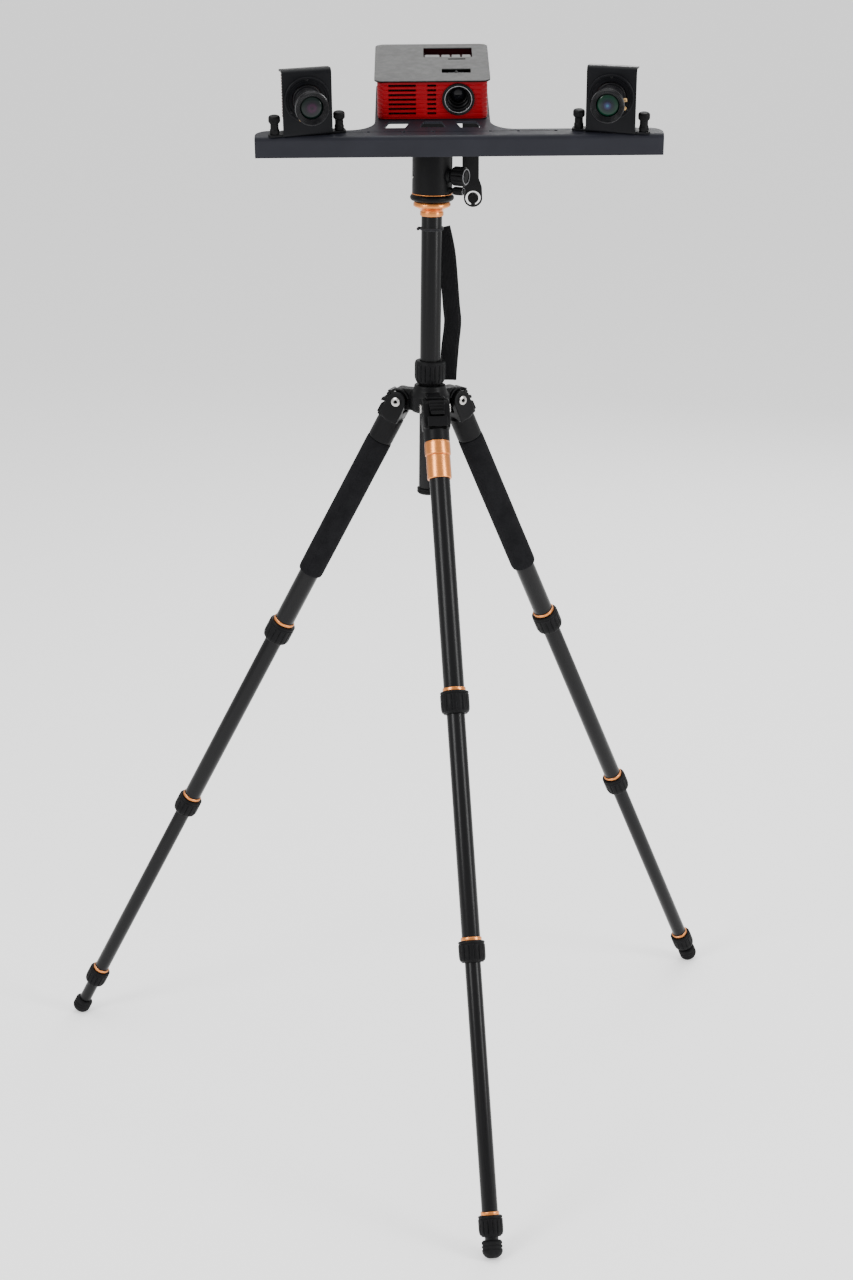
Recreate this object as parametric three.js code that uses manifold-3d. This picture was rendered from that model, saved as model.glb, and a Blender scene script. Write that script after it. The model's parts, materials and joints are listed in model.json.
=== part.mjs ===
// A structured-light 3D scanner (a projector between two cameras on a T-shaped plate) on a ball head
// and a four-section travel tripod. Millimetres, +Z up, the front of the scanner looks along -Y.
import * as THREE from "three";
import { mergeVertices } from "three/addons/utils/BufferGeometryUtils.js";
import Module from "manifold-3d";

const wasm = await Module();
wasm.setup();

const GAP = 0.3; // running clearance between neighbouring pieces
const ROUND = 20; // facets of a round piece
const OVER = 1; // how far a cutting tool reaches past the face it cuts

// Tripod: distances along a leg are measured from its hinge pin.
const LEGS = { front: -80.8, right: 39.2, left: 159.2 }; // azimuth of each leg, degrees
const SPREAD = 27.5; // angle between a leg and the centre column, degrees
const PIVOT_RADIUS = 38;
const TUBE_RADII = [12.5, 11, 9.5, 8];
const TUBE_WALL = 1.2;
const TUBE_START = 33;
const LOCK_AT = [346, 641, 955];
const LOCK_LENGTH = [27, 25, 24];
const LOCK_WALL = 4.8;
const LOCK_SEAT = 14; // how far a tube runs on inside its lock
const TUBE_OVERLAP = 30; // how much of a pulled-out tube stays inside the one above
const LAST_TUBE_START = 665;
const FOOT = { reach: 1003, length: 20, radius: 12, tip: 6, flat: 0.8 };
const LEG_EXTRA = { front: 0, right: 0, left: 28.5 }; // how far the last section is pulled out
const EAR = { radius: 12, inner: 8.3, outer: 16.6 };
const LUG = { radius: 11, half: 8 };
const HOOD = { radius: 15.4, half: 11.5, start: 72, end: 165 }; // angles about the pin, degrees
const BRACKET_END = { front: 41.5, right: 58, left: 58 };
const BRACKET_RADIUS = 15.6;
const GRIP = { radius: 16, end: 264 };

// Centre column and ball head: heights above the hinge pins.
const HUB = { bottom: -11, top: 22, radius: 24.5 };
const COLUMN = { radius: 12.5, bottom: -107, top: 227 };
const COLUMN_CAP = { radius: 14.5, height: 8 };
const COLUMN_LOCK = { radius: 19, bottom: 23, top: 52 };
const PAN_HEIGHT = 245;
const HOUSING = { radius: 24, bottom: 254.5, top: 307.5, ring: 26.4 };
const BALL = { z: 299.5, radius: 17.7, seat: 18.3 };
const KNOB_AZIMUTH = -28;
const BALL_KNOB = { z: 276.5, start: 27, end: 45.5, radius: 11.5 };
const PAN_KNOB = { z: 259, start: 27, end: 42, radius: 5 };

// Scanner: measured from the ball's centre, before it is pitched forward.
const PITCH = 11.7;
const ROLL = 0.75;
const PLATE = { top: 55, sheet: 3, front: -102, rear: -76, drop: 24.3, bend: 5, corner: 16 };
const LENS_X = 30; // the projector's lens, which is also the middle of the bar and of the cameras
const BAR_HALF = 234;
const TONGUE = { half: 67, rear: 104, fillet: 30, corner: 12 };
const PROJECTOR = { half: 64, front: -40, rear: 104, height: 45, corner: 9, wall: 2.5 };
const COVER = { half: 67.2, front: -43, rear: 106.5, sheet: 2.2, corner: 10 };
const BEAM = { z: 79.2, radius: 16.2, depth: 30 };
const KEYPAD = { left: -9.6, right: 48.1, front: 51.2, rear: 90.5, drop: 8 };
const KEYS = { widths: [19.8, 12.3, 12.3, 12.3], front: 55, rear: 65.5, sunk: 1.2 };
const FOCUS_SLOT = { left: 11.3, right: 45, front: -13, rear: 4 };
const CAMERA = { offset: 172.3, front: -98, toe: 11, half: 28.5, height: 77, sheet: 2.5 };
const CAMERA_TOP = { depth: 24, slope: 12 }; // the bracket's top runs down a little to its rear
const CAMERA_BASE = 20;
const CAMERA_LENS = { z: 43, ring: 26.5, hole: 17, length: 36 };
const SCREW = { x: 37.4, y: 9 };

const COLOURS = {
  black: { color: 0x1b1c1f, roughness: 0.45, metalness: 0.3 },
  gloss: { color: 0x15161a, roughness: 0.2, metalness: 0.6 },
  rubber: { color: 0x1a1a1b, roughness: 0.8, metalness: 0 },
  foam: { color: 0x2b2c2e, roughness: 0.95, metalness: 0 },
  copper: { color: 0xc98f5c, roughness: 0.35, metalness: 0.9 },
  steel: { color: 0xb9bbbe, roughness: 0.3, metalness: 0.9 },
  slate: { color: 0x5c5f69, roughness: 0.5, metalness: 0.3 },
  red: { color: 0xb01034, roughness: 0.45, metalness: 0 },
  grey: { color: 0x8b8b8a, roughness: 0.7, metalness: 0.1 },
};

const rad = THREE.MathUtils.degToRad;

// ---- solids -------------------------------------------------------------------------------------

function solidOf(geometry) {
  const bare = geometry.clone();
  bare.deleteAttribute("normal");
  bare.deleteAttribute("uv");
  const merged = mergeVertices(bare, 1e-4);
  const triVerts = new Uint32Array(merged.index.array);
  const vertProperties = new Float32Array(merged.attributes.position.array);
  return new wasm.Manifold(new wasm.Mesh({ numProp: 3, vertProperties, triVerts }));
}

function geometryOf(solid) {
  const mesh = solid.getMesh();
  const geometry = new THREE.BufferGeometry();
  geometry.setAttribute("position", new THREE.BufferAttribute(mesh.vertProperties, 3));
  geometry.setIndex(new THREE.BufferAttribute(mesh.triVerts, 1));
  const flat = geometry.toNonIndexed();
  flat.computeVertexNormals();
  return flat;
}

const join = (...solids) => solids.reduce((all, one) => all.add(one));
const cut = (solid, ...tools) => tools.reduce((left, tool) => left.subtract(tool), solid);

// A box between two corners.
function box(low, high) {
  const size = high.map((value, i) => value - low[i]);
  const middle = high.map((value, i) => (value + low[i]) / 2);
  return solidOf(new THREE.BoxGeometry(...size).translate(...middle));
}

// A solid of revolution about Z, from [radius, height] points that run up its outside.
function turned(points, facets = ROUND) {
  const profile = points.map(([radius, height]) => new THREE.Vector2(radius, height));
  return solidOf(new THREE.LatheGeometry(profile, facets).rotateX(Math.PI / 2));
}

const rod = (radius, low, high, facets = ROUND) =>
  turned([[0, low], [radius, low], [radius, high], [0, high]], facets);

const pipe = (outer, inner, low, high, facets = ROUND) =>
  turned([[inner, low], [outer, low], [outer, high], [inner, high], [inner, low]], facets);

// A flat outline in X and Y, made solid from one height to another.
function slab(shape, low, high, curveSegments = 6) {
  const settings = { depth: high - low, bevelEnabled: false, curveSegments };
  return solidOf(new THREE.ExtrudeGeometry(shape, settings).translate(0, 0, low));
}

// An outline in X and Z, made solid from one Y to another.
function sideSlab(shape, low, high, curveSegments = 6) {
  const settings = { depth: high - low, bevelEnabled: false, curveSegments };
  const geometry = new THREE.ExtrudeGeometry(shape, settings);
  return solidOf(geometry.rotateX(Math.PI / 2).translate(0, high, 0));
}

function outline(points) {
  return new THREE.Shape(points.map(([x, y]) => new THREE.Vector2(x, y)));
}

// A rectangle with rounded corners, from its left front to its right rear corner.
function roundedRectangle(left, front, right, rear, radius) {
  const shape = new THREE.Shape();
  shape.absarc(right - radius, front + radius, radius, -Math.PI / 2, 0);
  shape.absarc(right - radius, rear - radius, radius, 0, Math.PI / 2);
  shape.absarc(left + radius, rear - radius, radius, Math.PI / 2, Math.PI);
  shape.absarc(left + radius, front + radius, radius, Math.PI, 1.5 * Math.PI);
  return shape;
}

const moved = (solid, x, y, z) => solid.translate([x, y, z]);
const turnedTo = (solid, x, y, z) => solid.rotate([x, y, z]); // degrees about X, then Y, then Z

// ---- the scene graph ----------------------------------------------------------------------------

const part = new THREE.Group();
const tripod = new THREE.Group();
tripod.name = "tripod_frame";
part.add(tripod);

function place(parent, name, solid, colour) {
  const material = new THREE.MeshStandardMaterial(COLOURS[colour]);
  const mesh = new THREE.Mesh(geometryOf(solid), material);
  mesh.name = name;
  parent.add(mesh);
}

// A leg's own frame: origin on its hinge pin, -Z down the leg, +X outwards, +Y along the pin.
function legFrame(leg) {
  const frame = new THREE.Group();
  const azimuth = rad(LEGS[leg]);
  frame.name = `leg_frame_${leg}`;
  frame.position.set(PIVOT_RADIUS * Math.cos(azimuth), PIVOT_RADIUS * Math.sin(azimuth), 0);
  frame.rotation.set(0, -rad(SPREAD), azimuth, "ZYX");
  tripod.add(frame);
  frame.updateMatrixWorld(true);
  return frame;
}

// ---- tripod legs --------------------------------------------------------------------------------

// Two ears round the hub's lug, a panel under the stop tab, and a barrel that holds the top tube.
function legBracket(end) {
  const [cheekHalf, cheekFoot] = [12.6, 22];
  const cheek = new THREE.Shape();
  cheek.absarc(0, 0, EAR.radius, 0, Math.PI);
  cheek.lineTo(-cheekHalf, -cheekFoot);
  cheek.lineTo(cheekHalf, -cheekFoot);
  const bridge = [[-12.5, -EAR.outer, -26], [12.5, EAR.outer, -LUG.radius - 1]];
  const panel = [[10, -12.5, -25.5], [17.2, 12.5, -13]];
  const socketTop = TUBE_START - 1;
  return cut(
    join(
      sideSlab(cheek, EAR.inner, EAR.outer),
      sideSlab(cheek, -EAR.outer, -EAR.inner),
      box(...bridge),
      box(...panel),
      rod(BRACKET_RADIUS, -end, -20),
    ),
    rod(TUBE_RADII[0] + GAP, -end - OVER, -socketTop),
  );
}

// The spring tab that is pulled out to free the leg's angle: ridged, with a lip for a fingernail.
function stopTab() {
  const [back, face, top, ridge, pitch] = [EAR.radius + 1.6, 15.9, 6.5, 1.4, 4];
  const points = [[back, top], [face, top]];
  for (let i = 0; i < 3; i++) {
    const high = top - 1 - i * pitch;
    points.push([face + ridge, high], [face + ridge, high - pitch / 2], [face, high - pitch / 2 - 0.6]);
  }
  points.push([face + 4.4, -8], [face + 4.4, -12], [back, -10]);
  return sideSlab(outline(points.reverse()), -10, 10);
}

function twistLock(index) {
  const [top, length] = [LOCK_AT[index], LOCK_LENGTH[index]];
  const outer = TUBE_RADII[index] + LOCK_WALL;
  const upper = TUBE_RADII[index] + GAP;
  const lower = TUBE_RADII[index + 1] + GAP;
  const [chamfer, taper] = [1.5, 5];
  return turned([
    [lower, -top - length],
    [outer - 2.4, -top - length],
    [outer, -top - length + taper],
    [outer, -top - chamfer],
    [outer - chamfer, -top],
    [upper, -top],
    [upper, -top - LOCK_SEAT - GAP],
    [lower, -top - LOCK_SEAT - GAP],
    [lower, -top - length],
  ]);
}

function legTube(index) {
  const start = index ? LOCK_AT[index - 1] - TUBE_OVERLAP : TUBE_START;
  const radius = TUBE_RADII[index];
  return pipe(radius, radius - TUBE_WALL, -LOCK_AT[index] - LOCK_SEAT, -start);
}

// The last tube with its rubber foot, whose tip is worn flat where it meets the floor.
function footSection(extra, floor) {
  const reach = FOOT.reach + extra;
  const radius = TUBE_RADII[3];
  const tube = pipe(radius, radius - TUBE_WALL, -reach + FOOT.length / 2, -LAST_TUBE_START - extra);
  const foot = turned([
    [0, -reach],
    [FOOT.tip, -reach],
    [FOOT.radius, -reach + FOOT.tip],
    [FOOT.radius, -reach + FOOT.length - 2],
    [FOOT.radius - 2, -reach + FOOT.length],
    [0, -reach + FOOT.length],
  ]);
  return join(tube, foot).trimByPlane(floor.normal.toArray(), -floor.constant);
}

function foamGrip(start) {
  const [inner, soft] = [TUBE_RADII[0] + GAP, 2];
  return turned([
    [inner, -GRIP.end],
    [GRIP.radius - soft, -GRIP.end],
    [GRIP.radius, -GRIP.end + soft],
    [GRIP.radius, -start - soft],
    [GRIP.radius - soft, -start],
    [inner, -start],
    [inner, -GRIP.end],
  ]);
}

// The threaded coupling that lets the front leg come off to serve as a monopod.
function monopodCoupling() {
  const [inner, start, step, end] = [TUBE_RADII[0] + GAP, BRACKET_END.front + GAP, 59.5, 87.5];
  const lower = BRACKET_RADIUS - 0.9;
  return turned([
    [inner, -end],
    [lower, -end],
    [lower, -step],
    [BRACKET_RADIUS, -step + 1],
    [BRACKET_RADIUS, -start],
    [inner, -start],
    [inner, -end],
  ]);
}

// The floor under the three feet: the left leg is a little longer, so the column leans a little.
function floorUnder(frames) {
  const points = Object.entries(frames).map(([leg, frame]) => {
    const tip = new THREE.Vector3(-FOOT.tip, 0, -FOOT.reach - LEG_EXTRA[leg]);
    return frame.localToWorld(tip);
  });
  const floor = new THREE.Plane().setFromCoplanarPoints(...points);
  floor.constant -= FOOT.flat;
  return floor;
}

function buildLeg(leg, frame, floor) {
  const toLeg = frame.matrixWorld.clone().invert();
  place(frame, `leg_${leg}_bracket`, legBracket(BRACKET_END[leg]), "black");
  place(frame, `leg_${leg}_stop_tab`, stopTab(), "black");
  for (let i = 0; i < 3; i++) {
    place(frame, `leg_${leg}_tube_${i + 1}`, legTube(i), "gloss");
    place(frame, `leg_${leg}_lock_${i + 1}`, twistLock(i), "rubber");
  }
  const local = floor.clone().applyMatrix4(toLeg);
  place(frame, `leg_${leg}_tube_4_and_foot`, footSection(LEG_EXTRA[leg], local), "rubber");
  if (leg === "front") place(frame, "monopod_coupling", monopodCoupling(), "copper");
  else place(frame, `leg_${leg}_foam_grip`, foamGrip(BRACKET_END[leg] + GAP), "foam");
}

// ---- hub and column -----------------------------------------------------------------------------

function hub() {
  const bore = COLUMN.radius + GAP;
  const body = turned([
    [bore, HUB.bottom],
    [HUB.radius - 3, HUB.bottom],
    [HUB.radius, HUB.bottom + 4],
    [HUB.radius, 8],
    [HUB.radius - 3, HUB.top],
    [bore, HUB.top],
    [bore, HUB.bottom],
  ]);
  const lug = new THREE.Shape();
  lug.moveTo(bore + 2, -LUG.radius);
  lug.absarc(PIVOT_RADIUS, 0, LUG.radius, -Math.PI / 2, rad(HOOD.start));
  lug.absarc(PIVOT_RADIUS, 0, HOOD.radius, rad(HOOD.start), Math.PI / 2);
  lug.lineTo(bore + 2, HOOD.radius);
  const hood = new THREE.Shape();
  hood.absarc(PIVOT_RADIUS, 0, HOOD.radius, rad(HOOD.start), rad(HOOD.end));
  hood.absarc(PIVOT_RADIUS, 0, EAR.radius + 0.4, rad(HOOD.end), rad(HOOD.start), true);
  const arm = join(sideSlab(lug, -LUG.half, LUG.half), sideSlab(hood, -HOOD.half, HOOD.half));
  const arms = Object.values(LEGS).map((azimuth) => turnedTo(arm, 0, 0, azimuth));
  return join(body, ...arms);
}

// A tube with its end cap, open at the top.
function column() {
  const inner = COLUMN.radius - 1.5;
  const capBottom = COLUMN.bottom - COLUMN_CAP.height;
  return turned([
    [0, capBottom],
    [COLUMN_CAP.radius - 2, capBottom],
    [COLUMN_CAP.radius, capBottom + 2],
    [COLUMN_CAP.radius, COLUMN.bottom - 1],
    [COLUMN.radius, COLUMN.bottom],
    [COLUMN.radius, COLUMN.top],
    [inner, COLUMN.top],
    [inner, COLUMN.bottom],
    [0, COLUMN.bottom],
  ]);
}

function columnLock() {
  const bore = COLUMN.radius + GAP;
  const { radius, bottom, top } = COLUMN_LOCK;
  return turned([
    [bore, bottom],
    [radius - 4, bottom],
    [radius, bottom + 5],
    [radius, top - 2],
    [radius - 2, top],
    [bore, top],
    [bore, bottom],
  ]);
}

function headBase() {
  const start = COLUMN.top + GAP;
  return turned([
    [0, start - 10],
    [COLUMN.radius - 1.8, start - 10],
    [COLUMN.radius - 1.8, start],
    [14, start],
    [14, start + 6.5],
    [17, start + 9],
    [22, start + 12],
    [22, start + 13.5],
    [21, PAN_HEIGHT],
    [0, PAN_HEIGHT],
  ]);
}

// The ball head's housing: a ring at its foot, a cup for the ball and bosses for its two knobs.
function headHousing() {
  const foot = PAN_HEIGHT + GAP;
  const body = turned([
    [0, foot],
    [HOUSING.ring - 2.5, foot],
    [HOUSING.ring, foot + 2.5],
    [HOUSING.ring, foot + 5.7],
    [HOUSING.ring - 2, foot + 8.2],
    [HOUSING.radius, HOUSING.bottom],
    [HOUSING.radius, HOUSING.top - 2],
    [HOUSING.radius - 2, HOUSING.top],
    [0, HOUSING.top],
  ]);
  const seat = solidOf(new THREE.SphereGeometry(BALL.seat, ROUND, 12).translate(0, 0, BALL.z));
  const bosses = [BALL_KNOB, PAN_KNOB].map((one) =>
    alongKnob(rod(0.7 * one.radius, 18, one.start - GAP), one.z),
  );
  return cut(join(body, ...bosses), seat);
}

// Lays a piece made along +Z out along the knobs' common direction, at a height.
function alongKnob(solid, height) {
  return moved(turnedTo(solid, 0, 90, KNOB_AZIMUTH), 0, 0, height);
}

// A knob with a narrower neck towards the housing.
function headKnob({ z, start, end, radius }) {
  const edge = 0.2 * radius;
  const neck = 0.65 * radius;
  const knob = turned([
    [0, start],
    [neck, start],
    [neck, start + 1.5],
    [radius, start + 1.5 + edge],
    [radius, end - edge],
    [radius - edge, end],
    [0, end],
  ]);
  return alongKnob(knob, z);
}

// The wrist strap's webbing, hanging beside and a little behind the column.
function strap() {
  const [left, right, front, rear] = [15, 33, 13.5, 18.5];
  const [bottom, shoulder, top] = [23, 190, 208];
  const side = outline([
    [left, bottom],
    [right, bottom],
    [right, shoulder],
    [left + 8, top],
    [left, top],
  ]);
  return sideSlab(side, front, rear);
}

// ---- scanner head -------------------------------------------------------------------------------

// The stem, the clamp that it carries and the clamp's plate under the scanner.
function headClamp() {
  const under = PLATE.top - PLATE.sheet - GAP;
  const stem = turned([
    [0, 12],
    [6.5, 12],
    [6.5, 25],
    [20, 29],
    [20, 32],
    [0, 32],
  ]);
  const jaw = outline([
    [-25, 31],
    [25, 31],
    [25, 42],
    [20, 44],
    [20, 46],
    [24, under],
    [-24, under],
    [-20, 46],
    [-20, 44],
    [-25, 42],
  ]);
  const screwKnob = moved(turnedTo(rod(7, 0, 14, 16), -90, 0, 0), 0, 18, 37.5);
  const ball = solidOf(new THREE.SphereGeometry(BALL.radius + 2 * GAP, ROUND, 12));
  return join(cut(stem, ball), sideSlab(jaw, -19, 19), screwKnob);
}

function plateOutline() {
  const [left, right] = [LENS_X - BAR_HALF, LENS_X + BAR_HALF];
  const front = PLATE.front + PLATE.bend;
  const { half, rear, fillet, corner } = TONGUE;
  const shape = new THREE.Shape();
  shape.moveTo(left, front);
  shape.lineTo(right, front);
  shape.absarc(right - PLATE.corner, PLATE.rear - PLATE.corner, PLATE.corner, 0, Math.PI / 2);
  shape.absarc(half + fillet, PLATE.rear + fillet, fillet, 1.5 * Math.PI, Math.PI, true);
  shape.absarc(half - corner, rear - corner, corner, 0, Math.PI / 2);
  shape.absarc(-half + corner, rear - corner, corner, Math.PI / 2, Math.PI);
  shape.absarc(-half - fillet, PLATE.rear + fillet, fillet, 0, -Math.PI / 2, true);
  shape.absarc(left + PLATE.corner, PLATE.rear - PLATE.corner, PLATE.corner, Math.PI / 2, Math.PI);
  return shape;
}

// The bent front of the bar, in Y and Z, with a round bend between its top and its flange.
function bentFront() {
  const { top, sheet, front, bend, drop } = PLATE;
  const shape = new THREE.Shape();
  shape.moveTo(front, top - drop);
  shape.lineTo(front + sheet, top - drop);
  shape.absarc(front + bend, top - bend, bend - sheet, Math.PI, Math.PI / 2, true);
  shape.lineTo(front + bend + 4, top - sheet);
  shape.lineTo(front + bend + 4, top);
  shape.absarc(front + bend, top - bend, bend, Math.PI / 2, Math.PI);
  const settings = { depth: 2 * BAR_HALF, bevelEnabled: false, curveSegments: 5 };
  const geometry = new THREE.ExtrudeGeometry(shape, settings);
  geometry.rotateX(Math.PI / 2).rotateZ(Math.PI / 2);
  return solidOf(geometry.translate(LENS_X - BAR_HALF, 0, 0));
}

// The T-shaped plate: a bent bar with a tongue under the projector, three cut-outs and tapped holes.
function tPlate() {
  const [low, high] = [PLATE.top - PLATE.sheet - OVER, PLATE.top + OVER];
  const [windowFront, windowRear] = [-69.5, -46];
  const window = (side) =>
    slab(
      outline([
        [side * 57, windowFront],
        [side * 32, windowFront],
        [side * 26, windowRear],
        [side * 50.5, windowRear],
      ]),
      low,
      high,
    );
  const middle = slab(outline([[-15, -68], [15, -68], [11, -46], [-11, -46]]), low, high);
  const holes = [-74, -33, 0, 66, 98, 141].map((x) => moved(rod(1.8, low, high, 10), x, -84, 0));
  const sheet = slab(plateOutline(), PLATE.top - PLATE.sheet, PLATE.top, 8);
  return cut(join(sheet, bentFront()), window(-1), window(1), middle, ...holes);
}

// The flat arm behind the ball head, with an eye and a screw disc at its lower end.
function cableBracket() {
  const [left, right, front, rear] = [36, 56, 30, 33];
  const under = PLATE.top - PLATE.sheet - GAP;
  const eye = { x: 49, z: -65, outer: 11.2, inner: 9.2, disc: 6.8 };
  const along = (radius, facets = ROUND) =>
    moved(turnedTo(rod(radius, 0, rear - front, facets), -90, 0, 0), eye.x, front, eye.z);
  const arm = sideSlab(
    outline([
      [left, under],
      [left, eye.z + 16],
      [eye.x - eye.outer, eye.z],
      [eye.x + eye.outer, eye.z],
      [right, eye.z + 24],
      [right, under],
    ]),
    front,
    rear,
  );
  const hole = moved(turnedTo(rod(eye.inner, -OVER, rear - front + OVER), -90, 0, 0), eye.x, front, eye.z);
  const neck = box([eye.x - 2.5, front, eye.z - eye.inner - 1], [eye.x + 2.5, rear, eye.z]);
  const tab = box([left, front, under - 3], [right, front + 22, under]);
  return join(cut(join(arm, along(eye.outer)), hole), along(eye.disc), neck, tab);
}

// ---- projector ----------------------------------------------------------------------------------

const BODY_LOW = PLATE.top + GAP;
const BODY_TOP = PLATE.top + PROJECTOR.height;

// The case: open at the top, with two columns of vents, the lens bore, a shelf under the keys and
// the light engine's block standing on its floor.
function projectorBody() {
  const { half, front, rear, corner, wall } = PROJECTOR;
  const shell = slab(roundedRectangle(-half, front, half, rear, corner), BODY_LOW, BODY_TOP);
  const hollow = slab(
    roundedRectangle(-half + wall, front + wall, half - wall, rear - wall, corner - wall),
    BODY_LOW + wall,
    BODY_TOP + OVER,
  );
  const bore = moved(turnedTo(rod(BEAM.radius + GAP, -OVER, wall + OVER), -90, 0, 0), LENS_X, front, BEAM.z);
  const [pitch, height, lowest, rows] = [5.45, 2.6, 6, 7];
  const slots = [];
  for (let row = 0; row < rows; row++) {
    const z = BODY_LOW + lowest + row * pitch;
    for (const [left, right] of [[-51, -19], [-6, 4.5]]) {
      slots.push(box([left, front - OVER, z], [right, front + wall + OVER, z + height]));
    }
  }
  const shelfTop = BODY_TOP - KEYPAD.drop + 2;
  const shelf = box([KEYPAD.left - 3, KEYPAD.front - 3, shelfTop - 2], [KEYPAD.right + 3, rear - 1, shelfTop]);
  const floorTop = BODY_LOW + wall;
  const engine = join(
    box([-52, 2, floorTop - OVER], [54, 96, floorTop + 28]),
    box([LENS_X - 20, 2, floorTop - OVER], [LENS_X + 20, 40, BEAM.z + 14]),
    moved(turnedTo(rod(12, -10, 4), -90, 0, 0), LENS_X, 2, BEAM.z),
  );
  return join(cut(shell, hollow, bore, ...slots), shelf, engine);
}

function projectorCover() {
  const { half, front, rear, corner, sheet } = COVER;
  const low = BODY_TOP + GAP;
  const shape = roundedRectangle(-half, front, half, rear, corner);
  const tool = (hole) =>
    box([hole.left, hole.front, low - OVER], [hole.right, hole.rear, low + sheet + OVER]);
  return cut(slab(shape, low, low + sheet), tool(KEYPAD), tool(FOCUS_SLOT));
}

// The focusing lens: a barrel with a deep funnel in front of the glass.
function projectorLens() {
  const { radius, depth, z } = BEAM;
  const barrel = turned([
    [0, 0],
    [radius, 0],
    [radius, depth],
    [radius - 1.6, depth],
    [8, 7],
    [0, 8.5],
  ]);
  return moved(turnedTo(barrel, 90, 0, 0), LENS_X, PROJECTOR.front + depth - 1, z);
}

// A finger tab in the cover's slot, on a runner that hangs under the cover.
function focusTab() {
  const under = BODY_TOP - 1;
  const middle = (FOCUS_SLOT.left + FOCUS_SLOT.right) / 2;
  return join(
    box([middle - 4, -11, under], [middle + 4, -3, BODY_TOP + COVER.sheet + 1.2]),
    box([middle - 9, -12, under - 1.5], [middle + 9, 3, under]),
  );
}

function projectorKeys() {
  const [gap, travel] = [0.5, 1.2];
  const bottom = BODY_TOP - KEYPAD.drop + 2 + travel + GAP;
  const top = BODY_TOP + GAP + COVER.sheet - KEYS.sunk;
  let left = KEYPAD.left + gap;
  return KEYS.widths.map((width) => {
    const key = box([left, KEYS.front, bottom], [left + width - gap, KEYS.rear, top]);
    left += width;
    return key;
  });
}

// ---- cameras ------------------------------------------------------------------------------------

// Sheet bent back at the top and at the foot, with a lens ring in front and two screw ears.
function cameraBracket() {
  const { half, height, sheet } = CAMERA;
  const bend = 6;
  const slope = rad(CAMERA_TOP.slope);
  const flat = CAMERA_TOP.depth - bend * (1 + Math.sin(slope)); // of the top, behind the bend
  const end = [CAMERA_TOP.depth, height - bend * (1 - Math.cos(slope)) - flat * Math.tan(slope)];
  const shape = new THREE.Shape();
  shape.moveTo(0, GAP);
  shape.lineTo(CAMERA_BASE, GAP);
  shape.lineTo(CAMERA_BASE, GAP + sheet);
  shape.lineTo(sheet, GAP + sheet);
  shape.absarc(bend, height - bend, bend - sheet, Math.PI, Math.PI / 2 - slope, true);
  shape.lineTo(end[0] - sheet * Math.sin(slope), end[1] - sheet * Math.cos(slope));
  shape.lineTo(...end);
  shape.absarc(bend, height - bend, bend, Math.PI / 2 - slope, Math.PI);
  const settings = { depth: 2 * half, bevelEnabled: false, curveSegments: 6 };
  const geometry = new THREE.ExtrudeGeometry(shape, settings);
  geometry.rotateX(Math.PI / 2).rotateZ(Math.PI / 2).translate(-half, 0, 0);
  const { z, ring, hole } = CAMERA_LENS;
  const disc = (radius, front, rear) =>
    moved(turnedTo(rod(radius, front, rear, 32), -90, 0, 0), 0, 0, z);
  const earHalf = SCREW.x + 7.5;
  const ears = box([-earHalf, 3, GAP], [earHalf, 3 + 2 * (SCREW.y - 3), GAP + sheet]);
  return cut(join(solidOf(geometry), ears, disc(ring, -2.5, 1)), disc(hole, -OVER - 3, sheet + OVER));
}

// The finned camera body behind the bracket, with a nose that reaches through it.
function cameraBody() {
  const [half, low, high, fin, pitch] = [26, 14, 68, 2.5, 7];
  const points = [[-half, low], [half, low]];
  for (let z = low + pitch / 2; z + pitch / 2 < high; z += pitch) {
    points.push([half, z], [half - fin, z], [half - fin, z + pitch / 2], [half, z + pitch / 2]);
  }
  points.push([half, high], [-half, high]);
  for (let z = low + pitch / 2; z + pitch / 2 < high; z += pitch) {
    const down = low + high - z;
    points.push([-half, down], [-half + fin, down]);
    points.push([-half + fin, down - pitch / 2], [-half, down - pitch / 2]);
  }
  const front = CAMERA.sheet + GAP;
  const nose = moved(turnedTo(rod(CAMERA_LENS.hole - GAP, -2, front + 1), -90, 0, 0), 0, 0, CAMERA_LENS.z);
  return join(sideSlab(outline(points), front, front + 34), nose);
}

// A lens barrel in steps, with a front glass set back behind its rim.
function cameraLens() {
  const { length, z } = CAMERA_LENS;
  const barrel = turned(
    [
      [0, 0],
      [15.5, 0],
      [15.5, 6],
      [14, 7],
      [14, 10],
      [16.6, 11],
      [16.6, 21],
      [15.6, 22],
      [15.6, 24],
      [19, 27],
      [19, length],
      [17.2, length],
      [13.5, length - 5],
      [0, length - 3],
    ],
    28,
  );
  return moved(turnedTo(barrel, 90, 0, 0), 0, -2 - GAP, z);
}

function thumbScrew() {
  const foot = GAP + CAMERA.sheet + GAP;
  return turned(
    [
      [0, foot],
      [5.4, foot],
      [5.4, foot + 5],
      [4.8, foot + 6],
      [4.8, foot + 12],
      [6.8, foot + 13.5],
      [6.8, foot + 19],
      [5.4, foot + 21],
      [0, foot + 21],
    ],
    16,
  );
}

function buildCamera(parent, side, sign) {
  const frame = new THREE.Group();
  frame.name = `camera_frame_${side}`;
  frame.position.set(LENS_X + sign * CAMERA.offset, CAMERA.front, PLATE.top);
  frame.rotation.z = -sign * rad(CAMERA.toe);
  parent.add(frame);
  place(frame, `camera_bracket_${side}`, cameraBracket(), "slate");
  place(frame, `camera_body_${side}`, cameraBody(), "black");
  place(frame, `camera_lens_${side}`, cameraLens(), "gloss");
  for (const [where, x] of [["outer", sign * SCREW.x], ["inner", -sign * SCREW.x]]) {
    const screw = moved(thumbScrew(), x, SCREW.y, 0);
    place(frame, `thumb_screw_${side}_${where}`, screw, "black");
  }
}

// ---- assembly -----------------------------------------------------------------------------------

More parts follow.
